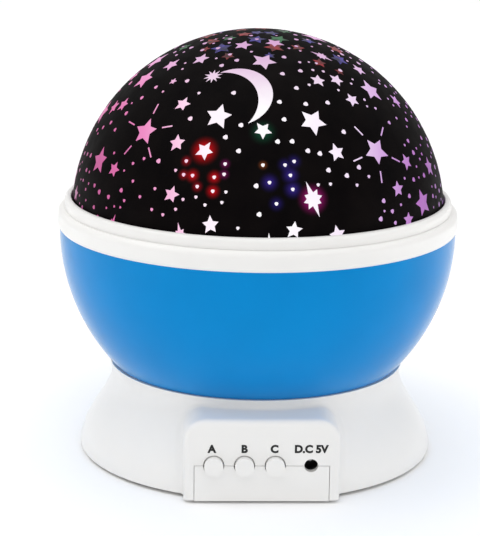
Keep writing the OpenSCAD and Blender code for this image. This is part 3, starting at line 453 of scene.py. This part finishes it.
# Dim patches of lamp colour that show in the print near the top: azimuth, elevation, size, colour name
TOP_GLINTS = [
    (-38, 70, 3.6, "blue"), (-62, 73, 3.0, "red"), (-8, 78, 3.2, "blue"), (11, 72, 3.2, "red"),
    (-26, 66, 2.2, "red"), (24, 78, 3.4, "green"), (-95, 74, 3.6, "red"), (-120, 76, 3.4, "blue"),
    (38, 62, 2.4, "red"), (58, 62, 3.2, "blue"), (95, 74, 3.8, "red"), (140, 79, 3.4, "green"),
    (-150, 80, 3.6, "blue"), (180, 74, 3.8, "red"), (75, 66, 3.2, "red"), (110, 66, 3.0, "blue"),
    (-80, 66, 2.4, "green"), (-170, 66, 3.0, "green"), (150, 65, 3.0, "blue"), (-130, 64, 3.0, "red"),
    (-40, 82, 2.6, "red"), (30, 84, 2.6, "blue"), (90, 83, 2.8, "green"), (-110, 84, 2.8, "red"),
    (170, 86, 2.8, "red"), (5, 67, 1.8, "blue"), (34, 71, 2.4, "red"), (-48, 77, 2.4, "green"),
    (62, 74, 2.6, "blue"), (-15, 85, 2.4, "blue"), (46, 57, 1.6, "red"), (-52, 68, 1.8, "red"),
]
GLINT_COLOURS = {"red": (150, 24, 36), "blue": (64, 50, 150), "green": (32, 104, 58)}
GLINT_DIM = 0.35  # the darkest part of a glint, as a share of its colour

# Shapes of the windows, as shares of their size: the radii of points and notches, rays, and the crescent
STAR_NOTCH = 0.5
BURST_RADII = (1, 0.36, 0.58, 0.34, 0.54, 0.34, 0.5, 0.36) * 2
EVEN_BURST_RADII = (1, 0.45) * 10
RAY_RADII, RAY_HALF = (1.4, 1.8, 2.2), 0.05
MOON_INNER, MOON_SHIFT, MOON_BLUNT = 1.11, 0.535, 0.02
MOON_STEPS = 28


def dome_axes(azimuth, elevation, turn=0.0):
    """The outward direction at a place on the dome, with the right and up directions of a motif there."""
    a, e = math.radians(azimuth), math.radians(elevation)
    out = Vector((math.sin(a) * math.cos(e), -math.cos(a) * math.cos(e), math.sin(e)))
    right = Vector((math.cos(a), math.sin(a), 0))
    up = out.cross(right)
    c, s = math.cos(math.radians(turn)), math.sin(math.radians(turn))
    return out, right * c + up * s, up * c - right * s


def dome_point(axes, x, y):
    """The point of the dome that lies x to the right of a place and y above it, along the surface."""
    out, right, up = axes
    reach = math.hypot(x, y)
    if reach < NEAR_NOTHING:
        return DOME_MIDDLE + out * DOME_R
    along = (right * x + up * y) / reach
    angle = reach / DOME_R
    return DOME_MIDDLE + (out * math.cos(angle) + along * math.sin(angle)) * DOME_R


def add_fan(bm, axes, outline, steps):
    """A star-shaped window: rings of its outline shrinking towards its middle."""
    hub = bm.verts.new(dome_point(axes, 0, 0))
    rings = [[bm.verts.new(dome_point(axes, x * k / steps, y * k / steps)) for x, y in outline]
             for k in range(1, steps + 1)]
    count = len(outline)
    for i in range(count):
        j = (i + 1) % count
        bm.faces.new((hub, rings[0][i], rings[0][j]))
        for low, high in zip(rings, rings[1:]):
            bm.faces.new((low[i], high[i], high[j], low[j]))


def add_strip(bm, axes, first, second, steps):
    """A window between two edges that run side by side."""
    rows = []
    for (ax, ay), (bx, by) in zip(first, second):
        row = [(ax + (bx - ax) * k / steps, ay + (by - ay) * k / steps) for k in range(steps + 1)]
        rows.append([bm.verts.new(dome_point(axes, x, y)) for x, y in row])
    for low, high in zip(rows, rows[1:]):
        for k in range(steps):
            bm.faces.new((low[k], low[k + 1], high[k + 1], high[k]))


def spokes(radii):
    """An outline with one point for each radius, evenly round, the first one upwards."""
    count = len(radii)
    return [(r * math.sin(2 * math.pi * i / count), r * math.cos(2 * math.pi * i / count))
            for i, r in enumerate(radii)]


def uneven(size, count, share, pace, step):
    """Radii that differ from a size by up to a share of it, the same ones each time for one size."""
    return [size * (1 + share * math.sin(pace * size / MM + step * k)) for k in range(count)]


def add_star(bm, axes, size):
    """A five-pointed star whose points differ a little, as on a printed film."""
    arms = uneven(size, count=5, share=0.07, pace=5, step=2.4)
    add_fan(bm, axes, spokes([r for arm in arms for r in (arm, size * STAR_NOTCH)]), steps=2)


def add_burst(bm, axes, size):
    """A flash with two long points and six short ones."""
    add_fan(bm, axes, spokes([size * r for r in BURST_RADII]), steps=2)


def add_rays_burst(bm, axes, size):
    """A small flash of ten even points."""
    add_fan(bm, axes, spokes([size * r for r in EVEN_BURST_RADII]), steps=2)


def add_ray_star(bm, axes, size):
    """A star with a short ray beyond each of its points."""
    add_star(bm, axes, size)
    half = RAY_HALF * size
    for i in range(5):
        angle = 2 * math.pi * i / 5
        out, side = (math.sin(angle), math.cos(angle)), (math.cos(angle), -math.sin(angle))
        edges = [[(out[0] * r * size + side[0] * w, out[1] * r * size + side[1] * w) for r in RAY_RADII]
                 for w in (-half, half)]
        add_strip(bm, axes, edges[0], edges[1], steps=1)


def add_moon(bm, axes, size):
    """A crescent between two circles that meet at its tips, which are a little blunt."""
    inner, shift, blunt = MOON_INNER * size, MOON_SHIFT * size, MOON_BLUNT * size
    tip_x = -(size ** 2 - inner ** 2 + shift ** 2) / (2 * shift)
    outer_tip = math.acos(tip_x / size)
    inner_tip = math.acos((tip_x + shift) / inner)
    shares = [2 * k / MOON_STEPS - 1 for k in range(MOON_STEPS + 1)]
    outside = [(size * math.cos(f * outer_tip), size * math.sin(f * outer_tip)) for f in shares]
    inside = [(inner * math.cos(f * inner_tip) - shift, inner * math.sin(f * inner_tip)) for f in shares]
    inside[0] = (inside[0][0] + blunt, inside[0][1] + blunt)
    inside[-1] = (inside[-1][0] + blunt, inside[-1][1] - blunt)
    add_strip(bm, axes, outside, inside, steps=3)


def add_dot(bm, axes, size):
    """A small round window with a slightly uneven edge."""
    add_fan(bm, axes, spokes(uneven(size, count=9, share=0.12, pace=9, step=2.1)), steps=1)


# How each kind of window is made, and how far it reaches from its middle as a share of its size
WINDOW_KINDS = {"star": add_star, "burst": add_burst, "rays_burst": add_rays_burst, "rays": add_ray_star,
                "moon": add_moon, "dot": add_dot}
WINDOW_REACH = {"star": 1.0, "burst": 1.0, "rays_burst": 1.0, "rays": 2.3, "moon": 1.0, "dot": 1.0}

LAYOUT_SEED = 27
BACK_FROM = 84  # the azimuth to either side from which big windows are scattered
FRONT_MIDDLE, FRONT_HALF, FRONT_TOP = -5, 40, 62  # azimuths and elevation that scattered dots leave free
RIM_CLEAR = 0.6  # millimetres between a scattered window and the dome's rim
TRIES = 60  # for each window that is scattered
SCATTER_HEIGHTS = (0.07, 0.99)  # the lowest and highest sine of an elevation
SCATTER_TURNS = (-25, 25)


def behind(azimuth, _):
    """Whether a place is at the back."""
    return abs(azimuth) > BACK_FROM


def off_front(azimuth, elevation):
    """Whether a place is beside or above the dots that the front has of its own."""
    return abs(azimuth - FRONT_MIDDLE) > FRONT_HALF or elevation > FRONT_TOP


# Windows scattered over the rest: kind, count, smallest and largest size, gap to others, allowed places
SCATTERED = [
    ("rays", 4, (4.2, 4.6), 1.5, behind),
    ("burst", 6, (3.4, 5.4), 1.5, behind),
    ("star", 14, (4.0, 4.7), 2.0, behind),
    ("star", 34, (2.4, 3.0), 2.0, behind),
    ("dot", 150, (0.6, 0.8), 2.2, off_front),
    ("dot", 210, (0.35, 0.5), 1.6, off_front),
]


class Layout:
    """Keeps the windows clear of each other as they are placed."""

    def __init__(self):
        self.placed = []

    def add(self, kind, azimuth, elevation, size, turn):
        """Puts a window in."""
        self.placed.append((kind, azimuth, elevation, size, turn))

    def is_free(self, azimuth, elevation, reach, gap):
        """Whether a window of some reach would stay clear of the others and of the rim."""
        out = dome_axes(azimuth, elevation)[0]
        for kind, a, e, size, _ in self.placed:
            apart = out.angle(dome_axes(a, e)[0]) * DOME_R / MM
            if apart < reach + size * WINDOW_REACH[kind] + gap:
                return False
        return (elevation - RIM_ELEVATION) * math.radians(1) * DOME_R / MM > reach + RIM_CLEAR

    def scatter(self, rng, kind, count, sizes, gap, area):
        """Tries random places until enough windows of a kind are in; area says which places may be used."""
        for _ in range(count * TRIES):
            if count == 0:
                return
            azimuth = rng.uniform(-180, 180)
            elevation = math.degrees(math.asin(rng.uniform(*SCATTER_HEIGHTS)))
            size = rng.uniform(*sizes)
            if area(azimuth, elevation) and self.is_free(azimuth, elevation, size * WINDOW_REACH[kind], gap):
                self.add(kind, azimuth, elevation, size, rng.uniform(*SCATTER_TURNS))
                count -= 1


def window_layout():
    """The front's own windows, then the back's, then those scattered over the rest."""
    layout = Layout()
    for window in FRONT_WINDOWS:
        layout.add(*window)
    for _, _, _, places in GLOWS:
        for azimuth, elevation in places:
            if layout.is_free(azimuth, elevation, GLOW_DOT, 0):
                layout.add("dot", azimuth, elevation, GLOW_DOT, 0)
    for size, places in FRONT_DOTS:
        for azimuth, elevation in places:
            layout.add("dot", azimuth, elevation, size, 0)
    for window in BACK_WINDOWS:
        layout.add(*window)
    rng = random.Random(LAYOUT_SEED)
    for row in SCATTERED:
        layout.scatter(rng, *row)
    return layout.placed


def dome_arc(radius):
    """Points (radius, height) up the dome from its rim to its pole."""
    rim, pole = math.asin((DOME_RIM - DOME_MIDDLE.z) / radius), 0.5 * math.pi
    angles = [rim + (pole - rim) * i / DOME_STEPS for i in range(DOME_STEPS + 1)]
    return [(radius * math.cos(e), DOME_MIDDLE.z + radius * math.sin(e)) for e in angles]


def build_shell():
    """The printed shell, with the points at its pole welded into one inside and one outside."""
    bm = bmesh.new()
    add_round(bm, dome_arc(PRINT_R) + dome_arc(DOME_INNER_R)[::-1])
    bmesh.ops.remove_doubles(bm, verts=bm.verts, dist=POLE_WELD)
    bmesh.ops.delete(bm, geom=[edge for edge in bm.edges if not edge.link_faces], context="EDGES")
    shell = add_mesh("dome_shell", bm, [print_material()], smooth=True)
    place_piece(shell, "dome", "dome_black", "star_dome")


def build_windows():
    """The clear windows in the print."""
    bm = bmesh.new()
    for kind, azimuth, elevation, size, turn in window_layout():
        WINDOW_KINDS[kind](bm, dome_axes(azimuth, elevation, turn), size * MM)
    finish_windows("dome_windows", bm, window_material())


def build_glints():
    """The dim coloured stars near the top, one piece for each colour."""
    for colour, tone in GLINT_COLOURS.items():
        bm = bmesh.new()
        for azimuth, elevation, size, name in TOP_GLINTS:
            if name == colour:
                add_star(bm, dome_axes(azimuth, elevation, azimuth), size * MM)
        for vert in bm.verts:
            vert.co = DOME_MIDDLE + (vert.co - DOME_MIDDLE) * (1 - GLINT_SINK / DOME_R)
        finish_windows("dome_glints_" + colour, bm, glint_material(colour, tone))


def finish_windows(name, bm, material):
    """Gives a set of thin windows their depth into the print."""
    piece = add_mesh(name, bm, [material])
    depth = piece.modifiers.new("depth", "SOLIDIFY")
    depth.thickness = WINDOW_DEPTH
    depth.offset = -1
    place_piece(piece, "dome", "dome_black")


def glow_colour(nodes):
    """The light that all the glows add to the print."""
    glow = None
    for colour, strength, reach, places in GLOWS:
        away = None
        for azimuth, elevation in places:
            spot = DOME_MIDDLE + dome_axes(azimuth, elevation)[0] * DOME_R
            apart = nodes.add("ShaderNodeVectorMath", {0: nodes.place, 1: spot}, operation="DISTANCE")
            apart = apart.outputs["Value"]
            away = apart if away is None else nodes.math("MINIMUM", away, apart)
        near = nodes.span(away, low=1, high=0, start=0, end=reach * MM)
        near = nodes.math("POWER", near, GLOW_FALLOFF)
        light = {0: colour[:3], "Scale": nodes.math("MULTIPLY", near, strength)}
        tint = nodes.add("ShaderNodeVectorMath", light, operation="SCALE").outputs["Vector"]
        if glow is None:
            glow = tint
        else:
            glow = nodes.add("ShaderNodeVectorMath", {0: glow, 1: tint}, operation="ADD").outputs["Vector"]
    return glow


def print_material():
    """Black print with a slight mottle, and a glow where a lamp stands right behind it."""
    nodes = Nodes("dome_print")
    tone = nodes.cloud(nodes.noise(9 * MM, detail=4), srgb(5, 3, 4), srgb(12, 8, 8))
    nodes.set(base_color=tone, emission_color=glow_colour(nodes), emission_strength=1.0, specular=0.03)
    nodes.set(roughness=nodes.span(nodes.noise(5 * MM, detail=3), low=0.5, high=0.62))
    nodes.set(normal=nodes.bump(nodes.noise(0.5 * MM), strength=0.02, depth=0.05 * MM))
    return nodes.material


# Light in the windows, from the dome's left side at 0 to its right side at 1
SIDE_LIGHTS = [
    (0.02, srgb(140, 40, 104)), (0.11, srgb(208, 84, 150)), (0.20, srgb(238, 132, 190)),
    (0.28, srgb(250, 196, 226)), (0.35, srgb(255, 242, 250)), (0.52, srgb(255, 255, 255)),
    (0.69, srgb(248, 236, 250)), (0.80, srgb(206, 160, 220)), (0.90, srgb(168, 92, 182)),
    (0.99, srgb(96, 44, 120)),
]
TOP_LIGHT = srgb(205, 150, 200)
TOP_LIGHT_FROM = DOME_MIDDLE.z + 40 * MM
CLOUD_LIGHT = srgb(200, 150, 210)


def window_material():
    """Clear windows lit from inside: white in the middle, pink to the left and violet to the right."""
    nodes = Nodes("dome_window")
    across = nodes.span(nodes.axis("X"), low=0, high=1, start=-DOME_R, end=DOME_R)
    height = nodes.span(nodes.axis("Z"), low=0, high=1, start=TOP_LIGHT_FROM, end=DOME_TOP, smooth=True)
    cloud = nodes.span(nodes.noise(3 * MM, detail=3), low=0, high=0.12)
    light = nodes.mix(cloud, nodes.mix(height, nodes.ramp(across, SIDE_LIGHTS), TOP_LIGHT), CLOUD_LIGHT)
    nodes.set(base_color=srgb(40, 34, 40), roughness=0.3, specular=0.3)
    nodes.set(emission_color=light, emission_strength=1.0)
    return nodes.material


def glint_material(name, tone):
    """Lamp colour that shines dimly and unevenly through the print."""
    nodes = Nodes("dome_glint_" + name)
    dim = srgb(*[value * GLINT_DIM for value in tone])
    nodes.set(base_color=srgb(10, 8, 10), roughness=0.35, specular=0.25)
    light = nodes.ramp(nodes.noise(2.4 * MM), [(0.35, dim), (0.65, srgb(*tone))])
    nodes.set(emission_color=light, emission_strength=1.0)
    return nodes.material


# ------------------------------------------------------------------ the skin over the base

# Sizes of the base's shell in millimetres: the flare, its lip, and the control box
BASE_R, NECK_R, LIP_R = 57.3, 46.9, 47.5
SKIRT_LOW, NECK_FOOT, NECK_TOP = 1.2, 27.0, 29.5
BOX_HALF, BOX_TOP, BOX_CORNER, BOX_ROLL, BOX_FACE = 23.7, 26.5, 6.7, 1.8, 57.5
BOX_BACK = -20  # y behind which there is only the flare
INSERT_HALF, SEAM_Z = 20.6, 12.2
BUTTON_HOLES = [(x, 3.2) for x in (-14.6, -5.3, 4.0)] + [(14.9, 2.1)]  # x and radius, the plug's hole last
CUT_REACH = 2  # how far the insert's cut goes to either side of the face
HOLE_DEPTH, HOLE_SEGMENTS = 6, 64

SKIN_OUT, SKIN_DEEP = 0.05, 0.8
SKIN_LOW = SKIRT_LOW - 0.03
SKIN_RIM = 46.54  # the radius to which the skin's top edge reaches in
SKIN_HUB = (38.0, 9.0)  # (radius, height) inside the base, from which the skin's points fan out
SKIN_START = 30  # a radius that is inside the base at every height
SKIN_FAR = 45  # farther than the surface lies from the hub or the start
SKIN_HALVINGS = 18
SKIN_ROWS = 72
SKIN_SHARP = math.radians(50)
BLEND_STEPS = [(2, 1.0), (9, 3.0), (17, 3.0), (25, 1.3)]  # the fillet's radius at some heights
BLEND_END = math.radians(42)  # beyond it the section is the flare's own

# The columns' azimuths to one side of the front in degrees, closest where the box meets the flare
SKIN_TURNS = [2 * k for k in range(9)] + [17 + 0.35 * k for k in range(49)]
SKIN_TURNS += [35, 36, 38, 40, 43, 46, 50] + [54 + 6 * k for k in range(21)]


def flare_radius(z):
    """The radius of the base's outside at a height."""
    f = min(1, max(0, (z - SKIRT_LOW) / (NECK_FOOT - SKIRT_LOW)))
    lip = max(0, z - NECK_FOOT) / (NECK_TOP - NECK_FOOT) * (LIP_R - NECK_R)
    return (BASE_R + NECK_R) / 2 + (BASE_R - NECK_R) / 2 * math.cos(math.pi * f) + lip


def blend_radius(z):
    """The radius of the fillet at a height."""
    for (low, first), (high, second) in zip(BLEND_STEPS, BLEND_STEPS[1:]):
        if z < high:
            f = max(0, (z - low) / (high - low))
            return first + (second - first) * f * f * (3 - 2 * f)
    return BLEND_STEPS[-1][1]


def outside_distance(x, y, z):
    """How far a point lies outside the flare and the box, with a fillet where they meet."""
    flare = math.hypot(x, y) - flare_radius(z)
    if y > BOX_BACK:
        return flare - SKIN_OUT
    qx, qz = abs(x) - (BOX_HALF - BOX_CORNER), z - (BOX_TOP - BOX_CORNER)
    outline = math.hypot(max(qx, 0), max(qz, 0)) + min(max(qx, qz), 0) - BOX_CORNER
    a, b = outline + BOX_ROLL, -BOX_FACE - y + BOX_ROLL
    box = math.hypot(max(a, 0), max(b, 0)) + min(max(a, b), 0) - BOX_ROLL
    blend = blend_radius(z)
    return max(blend, min(flare, box)) - math.hypot(max(blend - flare, 0), max(blend - box, 0)) - SKIN_OUT


def skin_reach(turn, start, way):
    """How far the surface lies from a start along a way, both (radius, height) in one half plane."""
    low, high = 0.0, SKIN_FAR
    for _ in range(SKIN_HALVINGS):
        middle = (low + high) / 2
        r, z = start[0] + way[0] * middle, start[1] + way[1] * middle
        if outside_distance(r * math.sin(turn), -r * math.cos(turn), z) < 0:
            low = middle
        else:
            high = middle
    return (low + high) / 2


def skin_column(turn):
    """The outer and inner (radius, height) points of the skin in one half plane."""
    ends = []
    for z in (SKIN_LOW, NECK_TOP):
        r = skin_reach(turn, (SKIN_START, z), (1, 0)) + SKIN_START
        ends.append(math.atan2(z - SKIN_HUB[1], r - SKIN_HUB[0]))
    outer, inner = [], []
    for k in range(SKIN_ROWS + 1):
        angle = ends[0] + (ends[1] - ends[0]) * k / SKIN_ROWS
        way = (math.cos(angle), math.sin(angle))
        reach = skin_reach(turn, SKIN_HUB, way)
        outer.append((SKIN_HUB[0] + way[0] * reach, SKIN_HUB[1] + way[1] * reach))
        inner.append((outer[-1][0] - way[0] * SKIN_DEEP, outer[-1][1] - (way[1] * SKIN_DEEP if k else 0)))
    inner[-1] = (SKIN_RIM, NECK_TOP)
    return outer + inner[::-1]


def build_skin(white):
    """A thin skin over the base's shell, cut out for the lower front, the buttons and the plug."""
    turns = [-math.radians(a) for a in SKIN_TURNS[:0:-1]] + [math.radians(a) for a in SKIN_TURNS] + [math.pi]
    plain = skin_column(math.pi)
    columns = []
    for turn in turns:
        column = skin_column(turn) if abs(turn) < BLEND_END else plain
        columns.append([(r * math.sin(turn) * MM, -r * math.cos(turn) * MM, z * MM) for r, z in column])
    bm = bmesh.new()
    add_columns(bm, columns)
    skin = add_mesh("base_skin", bm, [white], smooth=True)
    cutters = [block_cutter((-INSERT_HALF, -BOX_FACE - CUT_REACH, 0),
                            (INSERT_HALF, -BOX_FACE + CUT_REACH, SEAM_Z))]
    cutters += [round_cutter(x, SEAM_Z, radius) for x, radius in BUTTON_HOLES]
    cut_out(skin, cutters)
    skin.data.set_sharp_from_angle(angle=SKIN_SHARP)
    place_piece(skin, "base", "white_plastic")


def cut_out(piece, cutters):
    """Cuts the cutters out of a piece's mesh and deletes them."""
    for cutter in cutters:
        cut = piece.modifiers.new("cut", "BOOLEAN")
        cut.operation = "DIFFERENCE"
        cut.solver = "EXACT"
        cut.object = cutter
    mesh = final_mesh(piece)
    piece.modifiers.clear()
    piece.data = mesh
    for cutter in cutters:
        bpy.data.objects.remove(cutter)


def block_cutter(low, high):
    """A block between two corners, in millimetres."""
    bm = bmesh.new()
    bmesh.ops.create_cube(bm, size=1)
    for vert in bm.verts:
        vert.co = [(a + (b - a) * (c + 0.5)) * MM for a, b, c in zip(low, high, vert.co)]
    return add_mesh("cutter", bm, [])


def round_cutter(x, z, radius):
    """A round bar through the box's face, in millimetres."""
    place = Matrix.Translation((x * MM, -BOX_FACE * MM, z * MM)) @ Matrix.Rotation(math.radians(90), 4, "X")
    bm = bmesh.new()
    bmesh.ops.create_cone(bm, cap_ends=True, segments=HOLE_SEGMENTS, radius1=radius * MM, radius2=radius * MM,
                          depth=HOLE_DEPTH * MM, matrix=place)
    return add_mesh("cutter", bm, [])


# ------------------------------------------------------------------ the lip under the collar

COLLAR_LIP_DEEP = 1.2 * MM  # how far it reaches in
COLLAR_LIP_GAP = 0.03 * MM  # between it and the trim ring
COLLAR_LIP_TOP = 0.42 * MM  # over the dome's rim
COLLAR_LIP_INSETS = (0.05 * MM, 0.02 * MM)  # of its lower and its upper edge from the collar's outside
COLLAR_LIP_SHARP = math.radians(40)


def build_collar_lip(white):
    """The fine lip under the collar that all but closes its seam on the trim ring."""
    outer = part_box("dome_collar")[1].x
    low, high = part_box("trim_ring")[1].z + COLLAR_LIP_GAP, DOME_RIM + COLLAR_LIP_TOP
    inner, (low_inset, high_inset) = outer - COLLAR_LIP_DEEP, COLLAR_LIP_INSETS
    bm = bmesh.new()
    add_round(bm, [(inner, low), (outer - low_inset, low), (outer - high_inset, high), (inner, high)])
    lip = add_mesh("collar_lip", bm, [white])
    lip.data.set_sharp_from_angle(angle=COLLAR_LIP_SHARP)
    place_piece(lip, "dome", "white_plastic")


# ------------------------------------------------------------------ control box lettering

FACE_Y = -57.55 * MM
LETTER_Z = 16.45 * MM
LETTER_SIZE = 3.3 * MM
LETTER_WEIGHT = 0.17 * MM
LETTER_STEPS = 6  # of a letter's curves
INK_OUT = 0.02 * MM  # from the face to the middle of the ink
INK_HALF = 0.03 * MM  # half of the ink's thickness
LABELS = [("label_a", "A", -15.2), ("label_b", "B", -5.4), ("label_c", "C", 3.7),
          ("label_power", "D.C 5V", 14.8)]


def build_label(name, words, x, ink):
    """One printed mark, as thin raised ink."""
    curve = bpy.data.curves.new(name, "FONT")
    curve.body = words
    curve.align_x = "CENTER"
    curve.size = LETTER_SIZE
    curve.offset = LETTER_WEIGHT
    curve.extrude = INK_HALF
    curve.resolution_u = LETTER_STEPS
    text = add_object(name + "_text", curve)
    place = Matrix.Translation((x * MM, FACE_Y - INK_OUT, LETTER_Z))
    text.matrix_world = place @ Matrix.Rotation(math.radians(90), 4, "X")
    mesh = final_mesh(text)
    mesh.transform(text.matrix_world)
    mesh.materials.clear()
    mesh.materials.append(ink)
    label = add_object(name, mesh)
    bpy.data.objects.remove(text)
    place_piece(label, "base", "black_plastic")


def build_labels():
    """The marks over the buttons and the power inlet."""
    ink = moulded("label_ink", srgb(14, 14, 15), srgb(8, 8, 9), 0.5)
    for name, words, x in LABELS:
        build_label(name, words, x, ink)


# ------------------------------------------------------------------ finishes of the CAD nodes

WHITE_NODES = ["base_shell", "bottom_cover", "trim_ring", "dome_collar", "battery_door", "button_a",
               "button_b", "button_c", "lamp_post"]

# Other moulded finishes: name, light tone, dark tone, roughness, what differs from the usual, CAD nodes
MOULDED = [
    ("tray_white", srgb(246, 246, 242), srgb(240, 240, 236), 0.35, {}, ["reflector_tray"]),
    ("blue_plastic", srgb(0, 135, 207), srgb(0, 131, 202), 0.12,
     {"relief": 0.005, "specular": 0.05, "sheen": 0.22}, ["bowl"]),
    ("black_plastic", srgb(26, 26, 27), srgb(18, 18, 19), 0.45, {"relief": 0.05},
     ["tact_switches", "dc_jack", "plunger_a", "plunger_b", "plunger_c", "star_dome"]),
    ("rubber", srgb(40, 40, 40), srgb(30, 30, 31), 0.8, {"relief": 0.12, "specular": 0.3}, ["rubber_feet"]),
    ("gear_plastic", srgb(238, 232, 210), srgb(230, 224, 202), 0.38, {},
     ["globe_gear", "drive_pinion", "gearbox_case", "thrust_washer", "motor_end_cap"]),
    ("red_wire", srgb(196, 34, 30), srgb(176, 28, 26), 0.45, {}, ["led_wires", "battery_wires"]),
    ("black_wire", srgb(32, 32, 33), srgb(24, 24, 25), 0.45, {}, ["motor_wires"]),
]

# Metals: name, light tone, dark tone, roughness, the stretch of their fine lines, CAD nodes
METALS = [
    ("steel", srgb(206, 206, 208), srgb(176, 176, 180), 0.3, (1, 1, 8),
     ["cover_screws", "jack_pin", "battery_springs", "gearbox_screws", "motor_can", "post_screws",
      "gear_screws", "output_shaft", "door_screw"]),
    ("plated_contacts", srgb(222, 219, 208), srgb(196, 192, 180), 0.2, (8, 1, 1), ["battery_contacts"]),
]

# The lamps: colour name, tint, and the paler heart
LAMPS = [
    ("red", srgb(230, 40, 40), srgb(245, 120, 110)),
    ("green", srgb(40, 200, 90), srgb(130, 235, 160)),
    ("blue", srgb(50, 80, 230), srgb(130, 150, 250)),
    ("warm", srgb(250, 225, 160), srgb(255, 240, 205)),
]


def dress(names, material):
    """Gives CAD nodes one material."""
    for name in names:
        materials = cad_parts[name].data.materials
        materials.clear()
        materials.append(material)


def dress_nodes(white):
    """Each CAD node gets the finish of its own material."""
    dress(WHITE_NODES, white)
    for name, light, dark, roughness, settings, nodes in MOULDED:
        dress(nodes, moulded(name, light, dark, roughness, **settings))
    for name, light, dark, roughness, stretch, nodes in METALS:
        dress(nodes, metal(name, light, dark, roughness, stretch))
    dress(["control_board", "led_board"], circuit_material())
    dress(["battery_cells"], cell_material())
    for name, tint, pale in LAMPS:
        dress([name + "_led"], lamp_material(name + "_lamp", tint, pale))


# ------------------------------------------------------------------ the scene

add_camera()
add_stage()
white_plastic = moulded("white_plastic", srgb(237, 236, 234), srgb(235, 234, 232), 0.3, relief=0.006)
build_skin(white_plastic)
build_collar_lip(white_plastic)
dress_nodes(white_plastic)
build_shell()
build_windows()
build_glints()
build_labels()
